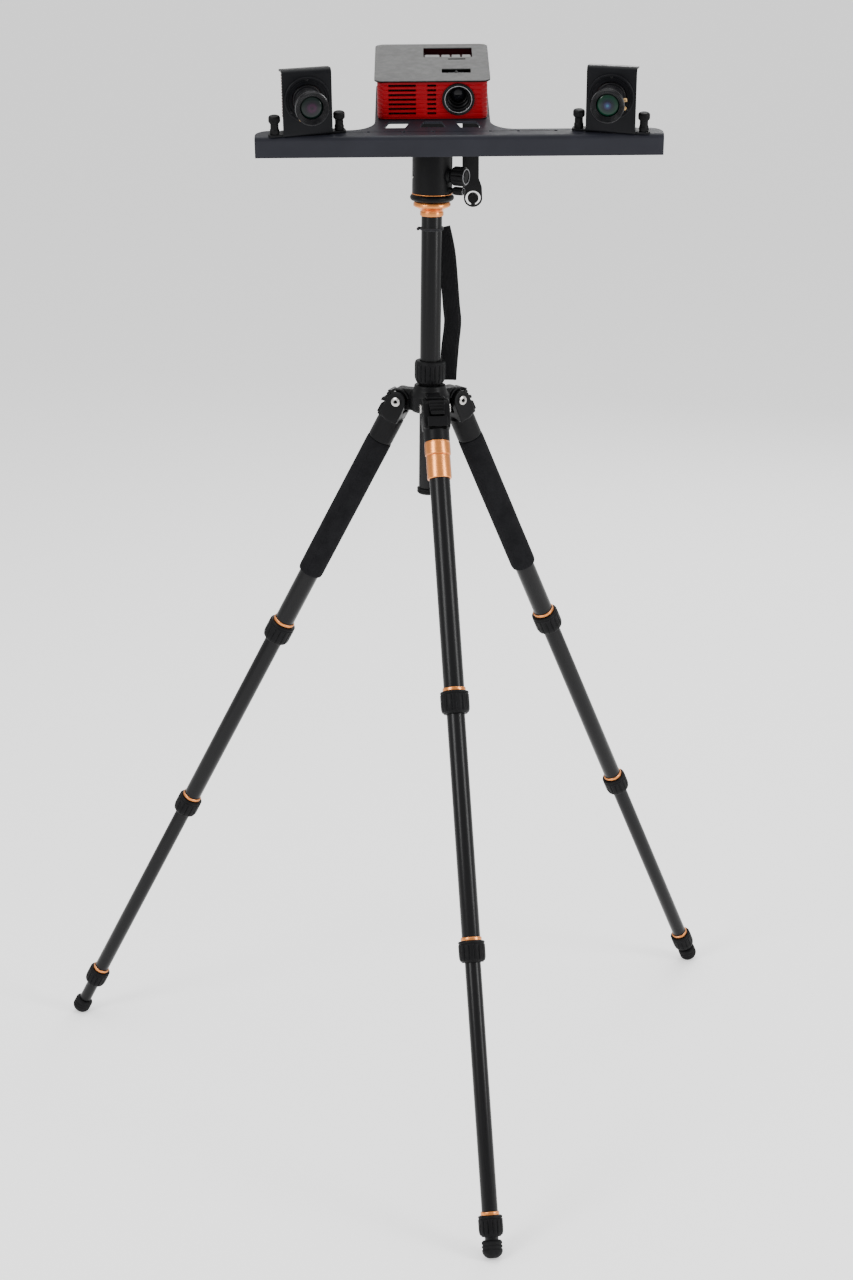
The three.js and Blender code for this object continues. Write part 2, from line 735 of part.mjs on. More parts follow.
const frames = Object.fromEntries(Object.keys(LEGS).map((leg) => [leg, legFrame(leg)]));
const floor = floorUnder(frames);
for (const [leg, frame] of Object.entries(frames)) buildLeg(leg, frame, floor);

place(tripod, "hub", hub(), "black");
place(tripod, "column", column(), "gloss");
place(tripod, "column_lock", columnLock(), "rubber");
place(tripod, "head_base", headBase(), "copper");
place(tripod, "head_housing", headHousing(), "black");
place(tripod, "ball_lock_knob", headKnob(BALL_KNOB), "black");
place(tripod, "pan_lock_knob", headKnob(PAN_KNOB), "black");
place(tripod, "wrist_strap", strap(), "foam");
const ball = solidOf(new THREE.SphereGeometry(BALL.radius, ROUND, 12).translate(0, 0, BALL.z));
place(tripod, "ball", ball, "steel");

// Stand the tripod on its feet, then hold the scanner above the ball, nearly level from side to side.
tripod.quaternion.setFromUnitVectors(floor.normal, new THREE.Vector3(0, 0, 1));
tripod.updateMatrixWorld(true);
const scanner = new THREE.Group();
scanner.name = "scanner_frame";
scanner.position.copy(tripod.localToWorld(new THREE.Vector3(0, 0, BALL.z)));
scanner.rotation.set(rad(PITCH), rad(ROLL), 0);
part.add(scanner);

place(scanner, "head_clamp", headClamp(), "black");
place(scanner, "t_plate", tPlate(), "slate");
place(scanner, "cable_bracket", cableBracket(), "black");
place(scanner, "projector_body", projectorBody(), "red");
place(scanner, "projector_cover", projectorCover(), "grey");
place(scanner, "projector_lens", projectorLens(), "gloss");
place(scanner, "focus_tab", focusTab(), "grey");
projectorKeys().forEach((key, i) => place(scanner, `projector_key_${i + 1}`, key, "grey"));
buildCamera(scanner, "left", -1);
buildCamera(scanner, "right", 1);

// The origin is the middle of the whole object's footprint, on the floor.
const bounds = new THREE.Box3().setFromObject(part, true);
const middle = bounds.getCenter(new THREE.Vector3());
part.position.set(-middle.x, -middle.y, -bounds.min.z);
part.updateMatrixWorld(true);

export default part;
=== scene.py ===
import json
import math

import bmesh
import bpy
from mathutils import Matrix, Vector, noise


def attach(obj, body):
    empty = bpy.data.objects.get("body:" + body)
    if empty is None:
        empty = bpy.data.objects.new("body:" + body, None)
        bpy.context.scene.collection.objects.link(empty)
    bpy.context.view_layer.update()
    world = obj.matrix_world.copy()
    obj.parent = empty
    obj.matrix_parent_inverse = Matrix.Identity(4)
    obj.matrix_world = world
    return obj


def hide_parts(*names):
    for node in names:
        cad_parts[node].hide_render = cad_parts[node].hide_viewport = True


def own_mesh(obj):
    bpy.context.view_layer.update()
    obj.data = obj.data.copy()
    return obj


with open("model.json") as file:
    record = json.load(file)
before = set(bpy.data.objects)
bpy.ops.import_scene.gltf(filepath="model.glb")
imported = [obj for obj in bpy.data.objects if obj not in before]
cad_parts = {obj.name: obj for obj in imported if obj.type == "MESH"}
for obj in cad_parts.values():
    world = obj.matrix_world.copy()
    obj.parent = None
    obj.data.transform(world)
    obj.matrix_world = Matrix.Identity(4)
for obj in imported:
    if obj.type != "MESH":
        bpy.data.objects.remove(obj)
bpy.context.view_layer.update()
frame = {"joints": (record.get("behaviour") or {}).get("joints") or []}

MM = 0.001
LEGS = ("front", "right", "left")
SIDES = {"left": -1, "right": 1}

# ---- driving dimensions, as the CAD frame has them ----------------------------------------------

TUBE_RADII = (12.5, 11, 9.5, 8)
TUBE_WALL = 1.2
TUBE_START = 33
LOCK_AT = (346, 641, 955)
LOCK_LENGTH = (27, 25, 24)
LOCK_WALL = 4.8
LOCK_SEAT = 14
TUBE_OVERLAP = 30
LAST_TUBE_START = 665
FOOT_REACH, FOOT_LENGTH, FOOT_RADIUS = 1003, 20, 12
LEG_EXTRA = {"front": 0, "right": 0, "left": 28.5}
EAR_RADIUS, EAR_INNER, EAR_OUTER = 12, 8.3, 16.6
BRACKET_END = {"front": 41.5, "right": 58, "left": 58}
BRACKET_RADIUS = 15.6
GRIP_RADIUS, GRIP_END = 16, 264
COUPLING_STEP, COUPLING_END = 59.5, 87.5
PIVOT_RADIUS = 38
LUG_RADIUS, LUG_HALF = 11, 8
HOOD_RADIUS, HOOD_HALF, HOOD_START, HOOD_END = 15.4, 11.5, 72, 165
HUB_BOTTOM, HUB_TOP, HUB_RADIUS = -11, 22, 24.5
COLUMN_RADIUS, COLUMN_BOTTOM, COLUMN_TOP = 12.5, -107, 227
CAP_RADIUS, CAP_HEIGHT = 14.5, 8
COLUMN_LOCK_LOW, COLUMN_LOCK_HIGH, COLUMN_LOCK_RADIUS = 23, 52, 19
COLUMN_LOCK_PIVOT = 36
PAN_HEIGHT = 245
HOUSING_RADIUS, HOUSING_LOW, HOUSING_TOP, RING_RADIUS = 24, 254.5, 307.5, 26.4
BALL_Z, BALL_RADIUS, BALL_SEAT = 299.5, 17.7, 18.3
KNOB_AZIMUTH = -28
BALL_KNOB = (276.5, 27, 45.5, 11.5)  # height, start, end, radius
PAN_KNOB = (259, 27, 42, 5)
PLATE_TOP, PLATE_SHEET, PLATE_FRONT, PLATE_REAR = 55, 3, -102, -76
PLATE_DROP, PLATE_BEND, PLATE_CORNER = 24.3, 5, 16
LENS_X, BAR_HALF = 30, 234
TONGUE_HALF, TONGUE_REAR, TONGUE_FILLET, TONGUE_CORNER = 67, 104, 30, 12
BODY_HALF, BODY_FRONT, BODY_REAR, BODY_CORNER, BODY_WALL = 64, -40, 104, 9, 2.5
BODY_LOW, BODY_TOP = 55.3, 100
COVER_HALF, COVER_FRONT, COVER_REAR, COVER_SHEET, COVER_CORNER = 67.2, -43, 106.5, 2.2, 10
BEAM_Z, BEAM_RADIUS, BEAM_DEPTH = 79.2, 16.2, 30
KEYPAD = (-9.6, 51.2, 48.1, 90.5)  # left, front, right, rear
KEYPAD_DROP, SHELF_SHEET = 8, 2
KEY_WIDTHS, KEY_FRONT, KEY_REAR, KEY_SUNK = (19.8, 12.3, 12.3, 12.3), 55, 65.5, 1.2
FOCUS_SLOT = (11.3, -13, 45, 4)
CAMERA_HALF, CAMERA_HEIGHT, CAMERA_SHEET, CAMERA_BASE = 28.5, 77, 2.5, 20
CAMERA_TOP, CAMERA_SLOPE = 24, 12
LENS_Z, LENS_RING, LENS_HOLE, LENS_LENGTH = 43, 26.5, 17, 36
SCREW_X, SCREW_Y = 37.4, 9

# ---- local frames, read from the joints ---------------------------------------------------------

JOINTS = {joint["name"]: joint for joint in frame["joints"]}


def axis_of(joint):
    return Vector(JOINTS[joint]["axis"]).normalized()


def place_of(joint):
    return Vector(JOINTS[joint]["pos_m"])


def rigid(origin, x, y, z):
    """A frame from its origin in metres and its three axes."""
    made = Matrix((x, y, z)).transposed().to_4x4()
    made.translation = origin
    return made


def leg_frame(leg):
    """Origin on the hinge pin, -Z down the leg, +X outwards."""
    pin, up = axis_of(f"leg_{leg}_fold"), axis_of(f"leg_{leg}_lock_1_twist")
    return rigid(place_of(f"leg_{leg}_fold"), pin.cross(up), pin, up)


def tripod_frame():
    """Origin on the column's axis at the height of the hinge pins."""
    up = axis_of("column_slide")
    origin = place_of("column_lock_twist") - up * COLUMN_LOCK_PIVOT * MM
    turn = Vector((0, 0, 1)).rotation_difference(up).to_matrix()
    return rigid(origin, turn.col[0], turn.col[1], turn.col[2])


def scanner_frame():
    """Origin at the ball's centre, -Y out of the front of the projector."""
    x, y = axis_of("head_tilt"), axis_of("head_roll")
    return rigid(place_of("head_tilt"), x, y, x.cross(y))


def camera_frame(side):
    """Origin under the camera bracket's front face, -Y along the camera's view."""
    y, z = -axis_of(f"camera_lens_{side}_focus"), axis_of(f"thumb_screw_{side}_outer_turn")
    centre = place_of(f"camera_lens_{side}_focus")
    return rigid(centre - (z * LENS_Z - y * 20) * MM, y.cross(z), y, z)


LEG = {leg: leg_frame(leg) for leg in LEGS}
TRIPOD = tripod_frame()
SCANNER = scanner_frame()
CAMERA = {side: camera_frame(side) for side in SIDES}


def at(place, x=0, y=0, z=0, toward=(0, 0, 1)):
    """A frame at a point of another, in millimetres, with its Z turned toward a direction."""
    turn = Vector((0, 0, 1)).rotation_difference(Vector(toward)).to_matrix().to_4x4()
    return place @ Matrix.Translation(Vector((x, y, z)) * MM) @ turn


# ---- materials ----------------------------------------------------------------------------------


def add(tree, kind, values=None, **settings):
    """A node with its settings, and each input set to a value or linked to a socket."""
    node = tree.nodes.new(kind)
    for name, value in settings.items():
        setattr(node, name, value)
    for key, value in (values or {}).items():
        if isinstance(value, bpy.types.NodeSocket):
            tree.links.new(value, node.inputs[key])
        else:
            node.inputs[key].default_value = value
    return node


def blank(name):
    material = bpy.data.materials.new(name)
    material.use_nodes = True
    tree = material.node_tree
    return material, tree, tree.nodes["Principled BSDF"]


def between(tree, value, low, high, source=(0.3, 0.7)):
    """A socket that runs from low to high as a noise value runs over its usual range."""
    values = {0: value, 1: source[0], 2: source[1], 3: low, 4: high}
    return add(tree, "ShaderNodeMapRange", values).outputs[0]


def mixed(tree, factor, first, second):
    node = add(tree, "ShaderNodeMix", data_type="RGBA")
    for key, value in ((0, factor), (6, first), (7, second)):
        if isinstance(value, bpy.types.NodeSocket):
            tree.links.new(value, node.inputs[key])
        else:
            node.inputs[key].default_value = value
    return node.outputs[2]


def tinted(colour, share):
    return (*(min(1, c * share) for c in colour), 1)


def clouds(tree, vector, scale, detail=3, rough=0.55):
    values = {"Vector": vector, "Scale": scale, "Detail": detail, "Roughness": rough}
    return add(tree, "ShaderNodeTexNoise", values).outputs[0]


def edges(tree, radius):
    """A value that rises from 0 on flat stretches to 1 along edges of the geometry."""
    soft = add(tree, "ShaderNodeBevel", {"Radius": radius}, samples=4).outputs[0]
    plain = add(tree, "ShaderNodeNewGeometry").outputs["Normal"]
    dot = add(tree, "ShaderNodeVectorMath", {0: soft, 1: plain}, operation="DOT_PRODUCT")
    return between(tree, dot.outputs["Value"], 1, 0, (0.86, 0.995))


def finish(
    name, colour, roughness, metallic=0.0, mottle=(40, 0.12), grain=(1500, 0.00004), wear=None,
    stretch=(1, 1, 1), spread=0.18, specular=0.5, coat=0.0, sheen=0.0,
):
    """A surface with cloudy colour and gloss, a fine grain in relief and worn edges."""
    material, tree, shader = blank(name)
    where = add(tree, "ShaderNodeTexCoord").outputs["Object"]
    drawn = add(tree, "ShaderNodeMapping", {"Vector": where, "Scale": stretch}).outputs[0]
    cloud = clouds(tree, drawn, mottle[0])
    tone = mixed(
        tree, between(tree, cloud, 0, 1), tinted(colour, 1 - mottle[1]), tinted(colour, 1 + mottle[1])
    )
    gloss = between(
        tree, clouds(tree, drawn, mottle[0] * 2.7, 5), roughness * (1 - spread), roughness * (1 + spread)
    )
    if wear:
        rubbed = add(
            tree, "ShaderNodeMath",
            {0: edges(tree, 0.0009), 1: between(tree, clouds(tree, where, 260, 4), 0, wear[1], (0.4, 0.65))},
            operation="MULTIPLY", use_clamp=True,
        ).outputs[0]
        tone = mixed(tree, rubbed, tone, (*wear[0], 1))
    relief = clouds(tree, drawn, grain[0], 2)
    bump = add(tree, "ShaderNodeBump", {"Height": relief, "Distance": grain[1], "Strength": 1.0})
    tree.links.new(tone, shader.inputs["Base Color"])
    tree.links.new(gloss, shader.inputs["Roughness"])
    tree.links.new(bump.outputs[0], shader.inputs["Normal"])
    shader.inputs["Metallic"].default_value = metallic
    shader.inputs["Specular IOR Level"].default_value = specular
    shader.inputs["Coat Weight"].default_value = coat
    shader.inputs["Coat Roughness"].default_value = 0.12
    shader.inputs["Sheen Weight"].default_value = sheen
    return material


def webbing_material():
    """Woven tape: ribs across its width and along its length, from the tape's own map."""
    material, tree, shader = blank("webbing")
    flat = add(tree, "ShaderNodeUVMap").outputs[0]
    across = add(
        tree, "ShaderNodeTexWave", {"Vector": flat, "Scale": 250.0, "Distortion": 0.4},
        wave_type="BANDS", bands_direction="Y",
    ).outputs[1]
    along = add(
        tree, "ShaderNodeTexWave", {"Vector": flat, "Scale": 190.0, "Distortion": 0.3},
        wave_type="BANDS", bands_direction="X",
    ).outputs[1]
    weave = add(tree, "ShaderNodeMath", {0: across, 1: along}, operation="MULTIPLY").outputs[0]
    cloud = clouds(tree, flat, 60)
    tone = mixed(tree, weave, (0.0022, 0.0022, 0.0026, 1), (0.0085, 0.0085, 0.0098, 1))
    bump = add(tree, "ShaderNodeBump", {"Height": weave, "Distance": 0.00035, "Strength": 0.8})
    tree.links.new(tone, shader.inputs["Base Color"])
    tree.links.new(between(tree, cloud, 0.62, 0.85), shader.inputs["Roughness"])
    tree.links.new(bump.outputs[0], shader.inputs["Normal"])
    shader.inputs["Sheen Weight"].default_value = 0.05
    shader.inputs["Specular IOR Level"].default_value = 0.08
    return material


def foam_material():
    """Closed-cell foam: fine pores sunk in a matt skin, their hollows darkened with painted shade."""
    material, tree, shader = blank("foam")
    where = add(tree, "ShaderNodeTexCoord").outputs["Object"]
    cells = add(tree, "ShaderNodeTexVoronoi", {"Vector": where, "Scale": 900.0}).outputs[0]
    pores_and_shade = between(tree, cells, 0, 1, (0.05, 0.45))
    cloud = clouds(tree, where, 55, 4)
    tone = mixed(tree, between(tree, cloud, 0, 1), (0.006, 0.006, 0.0068, 1), (0.011, 0.011, 0.0122, 1))
    # The pores darken the colour as well as the relief: painted shade in their hollows.
    tone = mixed(tree, pores_and_shade, (0.0028, 0.0028, 0.003, 1), tone)
    bump = add(tree, "ShaderNodeBump", {"Height": pores_and_shade, "Distance": 0.0003, "Strength": 0.7})
    tree.links.new(tone, shader.inputs["Base Color"])
    tree.links.new(between(tree, cloud, 0.8, 0.95), shader.inputs["Roughness"])
    tree.links.new(bump.outputs[0], shader.inputs["Normal"])
    shader.inputs["Specular IOR Level"].default_value = 0.05
    return material


def glass_material(name, rings):
    """Coated front glass: rings of painted reflection round the lens axis, standing in for the coloured
    glints of the coating, over black.
    """
    material, tree, shader = blank(name)
    where = add(tree, "ShaderNodeTexCoord").outputs["Object"]
    flat = add(tree, "ShaderNodeVectorMath", {0: where, 1: (1, 1, 0)}, operation="MULTIPLY").outputs[0]
    reach = add(tree, "ShaderNodeVectorMath", {0: flat}, operation="LENGTH").outputs["Value"]
    ramp = add(tree, "ShaderNodeValToRGB", {0: between(tree, reach, 0, 1, (0, 0.0145))})
    stops = ramp.color_ramp.elements
    for stop, (position, colour) in zip([stops[0], stops[1]], (rings[0], rings[-1])):
        stop.position, stop.color = position, (*colour, 1)
    for position, colour in rings[1:-1]:
        stops.new(position).color = (*colour, 1)
    tree.links.new(ramp.outputs[0], shader.inputs["Base Color"])
    tree.links.new(between(tree, clouds(tree, where, 90), 0.03, 0.08), shader.inputs["Roughness"])
    shader.inputs["Specular IOR Level"].default_value = 0.2
    shader.inputs["Coat Weight"].default_value = 0.05
    shader.inputs["Coat Roughness"].default_value = 0.02
    return material


LIGHT_METAL = (0.3, 0.3, 0.31)
MATERIALS = {
    "black_casting": finish("black_casting", (0.0038, 0.0038, 0.0042), 0.42, mottle=(35, 0.2), specular=0.1,
                            grain=(2200, 0.00003), wear=((0.035, 0.035, 0.037), 0.5)),
    "gloss_tube": finish("gloss_tube", (0.0032, 0.0032, 0.0036), 0.3, mottle=(25, 0.12), specular=0.16,
                         coat=0.03, grain=(500, 0.000006), stretch=(30, 30, 0.6), wear=(LIGHT_METAL, 0.12)),
    "lock_rubber": finish("lock_rubber", (0.004, 0.004, 0.0044), 0.5, mottle=(70, 0.2), specular=0.09,
                          grain=(2600, 0.00005), wear=((0.03, 0.03, 0.032), 0.6)),
    "foot_rubber": finish("foot_rubber", (0.006, 0.006, 0.0065), 0.66, mottle=(90, 0.25), specular=0.1,
                          grain=(1700, 0.00007), wear=((0.05, 0.047, 0.044), 0.7)),
    "copper_trim": finish("copper_trim", (0.66, 0.24, 0.07), 0.3, 1.0, mottle=(120, 0.07),
                          grain=(900, 0.000012), stretch=(1, 1, 14), wear=((0.9, 0.6, 0.4), 0.5)),
    "ball_metal": finish("ball_metal", (0.2, 0.2, 0.21), 0.22, 1.0, mottle=(80, 0.1)),
    "slate_sheet": finish("slate_sheet", (0.0115, 0.012, 0.0165), 0.42, 0.0, mottle=(18, 0.12), specular=0.14,
                          grain=(2400, 0.00003), wear=((0.07, 0.072, 0.085), 0.45)),
    "camera_sheet": finish("camera_sheet", (0.0038, 0.004, 0.005), 0.42, 0.0, mottle=(24, 0.15),
                           specular=0.09, grain=(2400, 0.00003), wear=((0.05, 0.045, 0.045), 0.4)),
    "red_case": finish("red_case", (0.19, 0.0003, 0.004), 0.42, mottle=(30, 0.08), specular=0.1,
                       grain=(1900, 0.00003), wear=((0.3, 0.012, 0.02), 0.3)),
    "grey_cover": finish("grey_cover", (0.085, 0.085, 0.084), 0.62, mottle=(45, 0.07), specular=0.15,
                         grain=(1300, 0.00011), wear=((0.17, 0.17, 0.168), 0.5)),
    "key_plastic": finish("key_plastic", (0.15, 0.15, 0.148), 0.5, mottle=(150, 0.08), specular=0.2,
                          grain=(2200, 0.00004), wear=((0.26, 0.26, 0.255), 0.4)),
    "optic_black": finish("optic_black", (0.0025, 0.0025, 0.003), 0.3, mottle=(90, 0.2), specular=0.12,
                          grain=(1800, 0.00002), wear=((0.04, 0.04, 0.04), 0.4)),
    "lens_black": finish("lens_black", (0.0035, 0.0035, 0.0042), 0.34, mottle=(120, 0.15), specular=0.14,
                         grain=(2600, 0.00002), wear=((0.09, 0.09, 0.095), 0.45)),
    # The case's red, darkened as painted shade for the inside of the keypad recess.
    "shaded_red": finish("shaded_red", (0.012, 0.0008, 0.0015), 0.55, mottle=(60, 0.3), specular=0.05),
    # Near-black: painted shade in the bracket slit, bolt sockets, behind the vents, under the lid, in the lid
    # groove and the focus recess; also the light engine block and scribe lines.
    "deep_black": finish("deep_black", (0.0015, 0.0015, 0.0015), 0.75, mottle=(60, 0.3), specular=0.02),
    "rim_metal": finish("rim_metal", (0.28, 0.28, 0.29), 0.3, 0.9, mottle=(120, 0.1)),
    "fin_red": finish("fin_red", (0.05, 0.012, 0.011), 0.42, mottle=(80, 0.15), specular=0.12,
                      wear=((0.16, 0.06, 0.05), 0.5)),
    "steel": finish("steel", (0.45, 0.44, 0.43), 0.26, 1.0, mottle=(200, 0.1),
                    grain=(2500, 0.00002), wear=((0.75, 0.75, 0.75), 0.5)),
    "brass": finish("brass", (0.42, 0.27, 0.12), 0.34, 1.0, mottle=(200, 0.12), grain=(2500, 0.00002)),
    "thread": finish("thread", (0.016, 0.016, 0.018), 0.7, mottle=(300, 0.2), specular=0.08, sheen=0.06),
    "webbing": webbing_material(),
    "foam": foam_material(),
    # The coloured rings of the three glasses are painted reflections: the glints and arcs of the coated
    # glass.
    "glass_left": glass_material("glass_left", [
        (0.0, (0.004, 0.003, 0.006)), (0.25, (0.02, 0.003, 0.016)), (0.45, (0.004, 0.003, 0.006)),
        (0.8, (0.002, 0.008, 0.006)), (0.9, (0.002, 0.003, 0.003)), (1.0, (0.001, 0.001, 0.001))]),
    "glass_right": glass_material("glass_right", [
        (0.0, (0.02, 0.1, 0.14)), (0.16, (0.015, 0.02, 0.06)), (0.34, (0.003, 0.003, 0.01)),
        (0.76, (0.001, 0.025, 0.012)), (0.88, (0.002, 0.005, 0.004)), (1.0, (0.001, 0.001, 0.001))]),
    "glass_projector": glass_material("glass_projector", [
        (0.0, (0.006, 0.006, 0.008)), (0.3, (0.01, 0.01, 0.014)), (0.6, (0.004, 0.004, 0.006)),
        (1.0, (0.001, 0.001, 0.001))]),
}

# ---- outlines and solids ------------------------------------------------------------------------


def arc(x, y, radius, start, end, steps=8):
    """Points on an arc, from one angle in degrees to another."""
    turns = [math.radians(start + (end - start) * i / steps) for i in range(steps + 1)]
    return [(x + radius * math.cos(a), y + radius * math.sin(a)) for a in turns]


def rounded(points, reach=0.5, closed=False, steps=3):
    """The same outline with each corner replaced by a short curve. A third value sets its reach."""
    made = []
    for i, point in enumerate(points):
        own = point[2] if len(point) > 2 else reach
        corner = Vector(point[:2])
        if not own or (not closed and i in (0, len(points) - 1)):
            made.append(tuple(corner))
            continue
        before = Vector(points[i - 1][:2]) - corner
        after = Vector(points[(i + 1) % len(points)][:2]) - corner
        start = corner + before.normalized() * min(own, 0.45 * before.length)
        end = corner + after.normalized() * min(own, 0.45 * after.length)
        for k in range(steps + 1):
            t = k / steps
            made.append(tuple((1 - t) ** 2 * start + 2 * t * (1 - t) * corner + t * t * end))
    return made


def dense(points, step):
    """The same outline with no stretch longer than a step."""
    made = [points[0]]
    for a, b in zip(points, points[1:]):
        count = max(1, math.ceil(math.dist(a, b) / step))
        for k in range(1, count + 1):
            made.append(tuple(p + (q - p) * k / count for p, q in zip(a, b)))
    return made


def rounded_rectangle(left, front, right, rear, corner, steps=8):
    return (
        arc(right - corner, front + corner, corner, -90, 0, steps)
        + arc(right - corner, rear - corner, corner, 0, 90, steps)
        + arc(left + corner, rear - corner, corner, 90, 180, steps)
        + arc(left + corner, front + corner, corner, 180, 270, steps)
    )


def revolve(bm, profile, steps=72, shape=None, turn=None):
    """Turns (radius, height) points that run up the outside about Z. shape may change a radius."""
    turn = turn or Matrix()
    closed = math.dist(profile[0], profile[-1]) < 1e-6
    rings = []
    for radius, height in profile[:-1] if closed else profile:
        count = 1 if radius < 1e-6 else steps
        ring = []
        for k in range(count):
            a = 2 * math.pi * k / steps
            r = shape(a, height, radius) if shape and radius > 1e-6 else radius
            ring.append(bm.verts.new(turn @ Vector((r * math.cos(a), r * math.sin(a), height))))
        rings.append(ring)
    if closed:
        rings.append(rings[0])
    for low, high in zip(rings, rings[1:]):
        for k in range(steps):
            j = (k + 1) % steps
            corners = [low[k % len(low)], low[j % len(low)], high[j % len(high)], high[k % len(high)]]
            corners = list(dict.fromkeys(corners))
            if len(corners) > 2:
                bm.faces.new(corners)


def ribs(count, depth, low, high, least, sharpness=4):
    """A shape for revolve(): narrow grooves between ribs, on the outside from low to high."""

    def shape(angle, height, radius):
        if not low <= height <= high or radius < least:
            return radius
        end = min(1, (height - low) / 1.5, (high - height) / 1.5)
        return radius - depth * end * max(0.0, math.cos(count * angle)) ** sharpness

    return shape


def prism(bm, loops, low, high, to=lambda a, b, c: (a, b, c)):
    """An outline with holes, made solid between two heights. to() turns (a, b, height) round."""
    edges_of = []
    for loop in loops:
        corners = [bm.verts.new((*point[:2], low)) for point in loop]
        edges_of += [bm.edges.new(pair) for pair in zip(corners, corners[1:] + corners[:1])]
    if len(loops) == 1:
        faces = [bm.faces.new(list(dict.fromkeys(v for e in edges_of for v in e.verts)))]
        bmesh.ops.recalc_face_normals(bm, faces=faces)
    else:
        made = bmesh.ops.triangle_fill(bm, use_beauty=True, edges=edges_of)["geom"]
        faces = [item for item in made if isinstance(item, bmesh.types.BMFace)]
    top = bmesh.ops.extrude_face_region(bm, geom=faces, use_keep_orig=True)["geom"]
    lifted = [item for item in top if isinstance(item, bmesh.types.BMVert)]
    bmesh.ops.translate(bm, verts=lifted, vec=(0, 0, high - low))
    touched = set(lifted) | {v for e in edges_of for v in e.verts}
    for vertex in touched:
        vertex.co = to(*vertex.co)


def side(a, b, c):
    """For prism(): an outline in X and Z, made solid along Y."""
    return (a, c, b)


def block(bm, low, high):
    corners = [(low[0], low[1]), (high[0], low[1]), (high[0], high[1]), (low[0], high[1])]
    prism(bm, [corners], low[2], high[2])


def new_mesh(name, bm):
    bmesh.ops.recalc_face_normals(bm, faces=bm.faces)
    bmesh.ops.scale(bm, vec=(MM, MM, MM), verts=bm.verts)
    mesh = bpy.data.meshes.new(name)
    bm.to_mesh(mesh)
    bm.free()
    return mesh


def applied(obj):
    """Replaces an object's mesh by what its modifiers make of it."""
    bpy.context.view_layer.update()
    source = obj.evaluated_get(bpy.context.evaluated_depsgraph_get())
    mesh = bpy.data.meshes.new_from_object(source)
    obj.modifiers.clear()
    obj.data = mesh


def as_piece(name, bm, place, material, body, replaces=(), bevel=0.0, cast=0.0, angle=38, sheet=0.0):
    """Makes a piece from solids in millimetres. bevel rounds its edges, cast melts its solids
    into one with soft fillets of about that size, and sheet gives a bare surface its thickness."""
    obj = bpy.data.objects.new(name, new_mesh(name, bm))
    bpy.context.scene.collection.objects.link(obj)
    if sheet:
        skin = obj.modifiers.new("thickness", "SOLIDIFY")
        skin.thickness, skin.offset, skin.use_even_offset = sheet * MM, -1, True
    if cast:
        remesh = obj.modifiers.new("cast", "REMESH")
        remesh.mode, remesh.voxel_size = "VOXEL", cast * MM
        soft = obj.modifiers.new("fillets", "SMOOTH")
        soft.factor, soft.iterations = 0.6, 5
        applied(obj)
    if bevel:
        edge = obj.modifiers.new("edges", "BEVEL")
        edge.width, edge.segments, edge.limit_method = bevel * MM, 3, "ANGLE"
        edge.angle_limit, edge.use_clamp_overlap = math.radians(35), True
        edge.miter_outer = "MITER_ARC"
    if sheet or bevel:
        applied(obj)
    obj.data.shade_smooth()
    if not cast:
        obj.data.set_sharp_from_angle(angle=math.radians(angle))
    if bevel:
        obj.modifiers.new("normals", "WEIGHTED_NORMAL").keep_sharp = True
    obj.data.materials.clear()
    obj.data.materials.append(MATERIALS[material])
    obj.matrix_world = place
    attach(obj, body)
    if replaces:
        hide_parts(*([replaces] if isinstance(replaces, str) else replaces))
    return obj


def turned_piece(name, profile, place, material, body, replaces=(), steps=72, shape=None, reach=0.4,
                 step=None, angle=32):
    """A piece of revolution with softened corners."""
    points = rounded(profile, reach)
    if step:
        points = dense(points, step)
    bm = bmesh.new()
    revolve(bm, points, steps, shape)
    return as_piece(name, bm, place, material, body, replaces, angle=angle)


# ---- tripod legs --------------------------------------------------------------------------------


def bracket(leg):
    """Two ears that run down into a barrel, a web between them and a panel under the stop tab."""
    end = BRACKET_END[leg]
    bm = bmesh.new()
    cheek_half, cheek_foot = 12.6, -18
    cheek = arc(0, 0, EAR_RADIUS, 0, 180, 16) + [(-cheek_half, cheek_foot + 4)]
    cheek += arc(0, cheek_foot + 4, cheek_half, 180, 360, 14)
    for low, high in ((EAR_INNER, EAR_OUTER), (-EAR_OUTER, -EAR_INNER)):
        prism(bm, [cheek], low, high, side)
    block(bm, (-12.5, -EAR_OUTER + 0.6, -26), (12.5, EAR_OUTER - 0.6, -12.2))
    bore = TUBE_RADII[0] + 0.3
    revolve(bm, [
        (0, -TUBE_START + 1), (bore, -TUBE_START + 1), (bore, -end), (BRACKET_RADIUS - 0.8, -end),
        (BRACKET_RADIUS, -end + 1), (BRACKET_RADIUS, -24), (12, -20), (0, -20)][::-1], 64)
    place, body = LEG[leg], f"leg_{leg}"
    as_piece(f"{leg}_leg_hinge_bracket", bm, place, "black_casting", body,
             f"leg_{leg}_bracket", cast=0.7)
    panel = bmesh.new()
    outline = rounded([(-12.3, -25.5), (12.3, -25.5), (12.3, -13.2), (-12.3, -13.2)], 1.4, True)
    prism(panel, [outline], 10, 17.2, lambda a, b, c: (c, a, b))
    as_piece(f"{leg}_leg_bracket_panel", panel, place, "black_casting", body, bevel=0.6)
    # A near-black strip just under the panel: painted shadow of the gap below it, not a real opening.
    slit = bmesh.new()
    outline = rounded([(-10.5, -28.4), (10.5, -28.4), (10.5, -26.2), (-10.5, -26.2)], 0.8, True)
    prism(slit, [outline], 10, 15.75, lambda a, b, c: (c, a, b))
    as_piece(f"{leg}_leg_bracket_slit_shadow", slit, place, "deep_black", body, bevel=0.2)


def hex_socket(across, low):
    """A shape for revolve(): the points below a radius lie on a hexagon."""

    def shape(angle, height, radius):
        if radius > low:
            return radius
        from_flat = (angle + math.pi / 6) % (math.pi / 3) - math.pi / 6
        return across / 2 / math.cos(from_flat)

    return shape


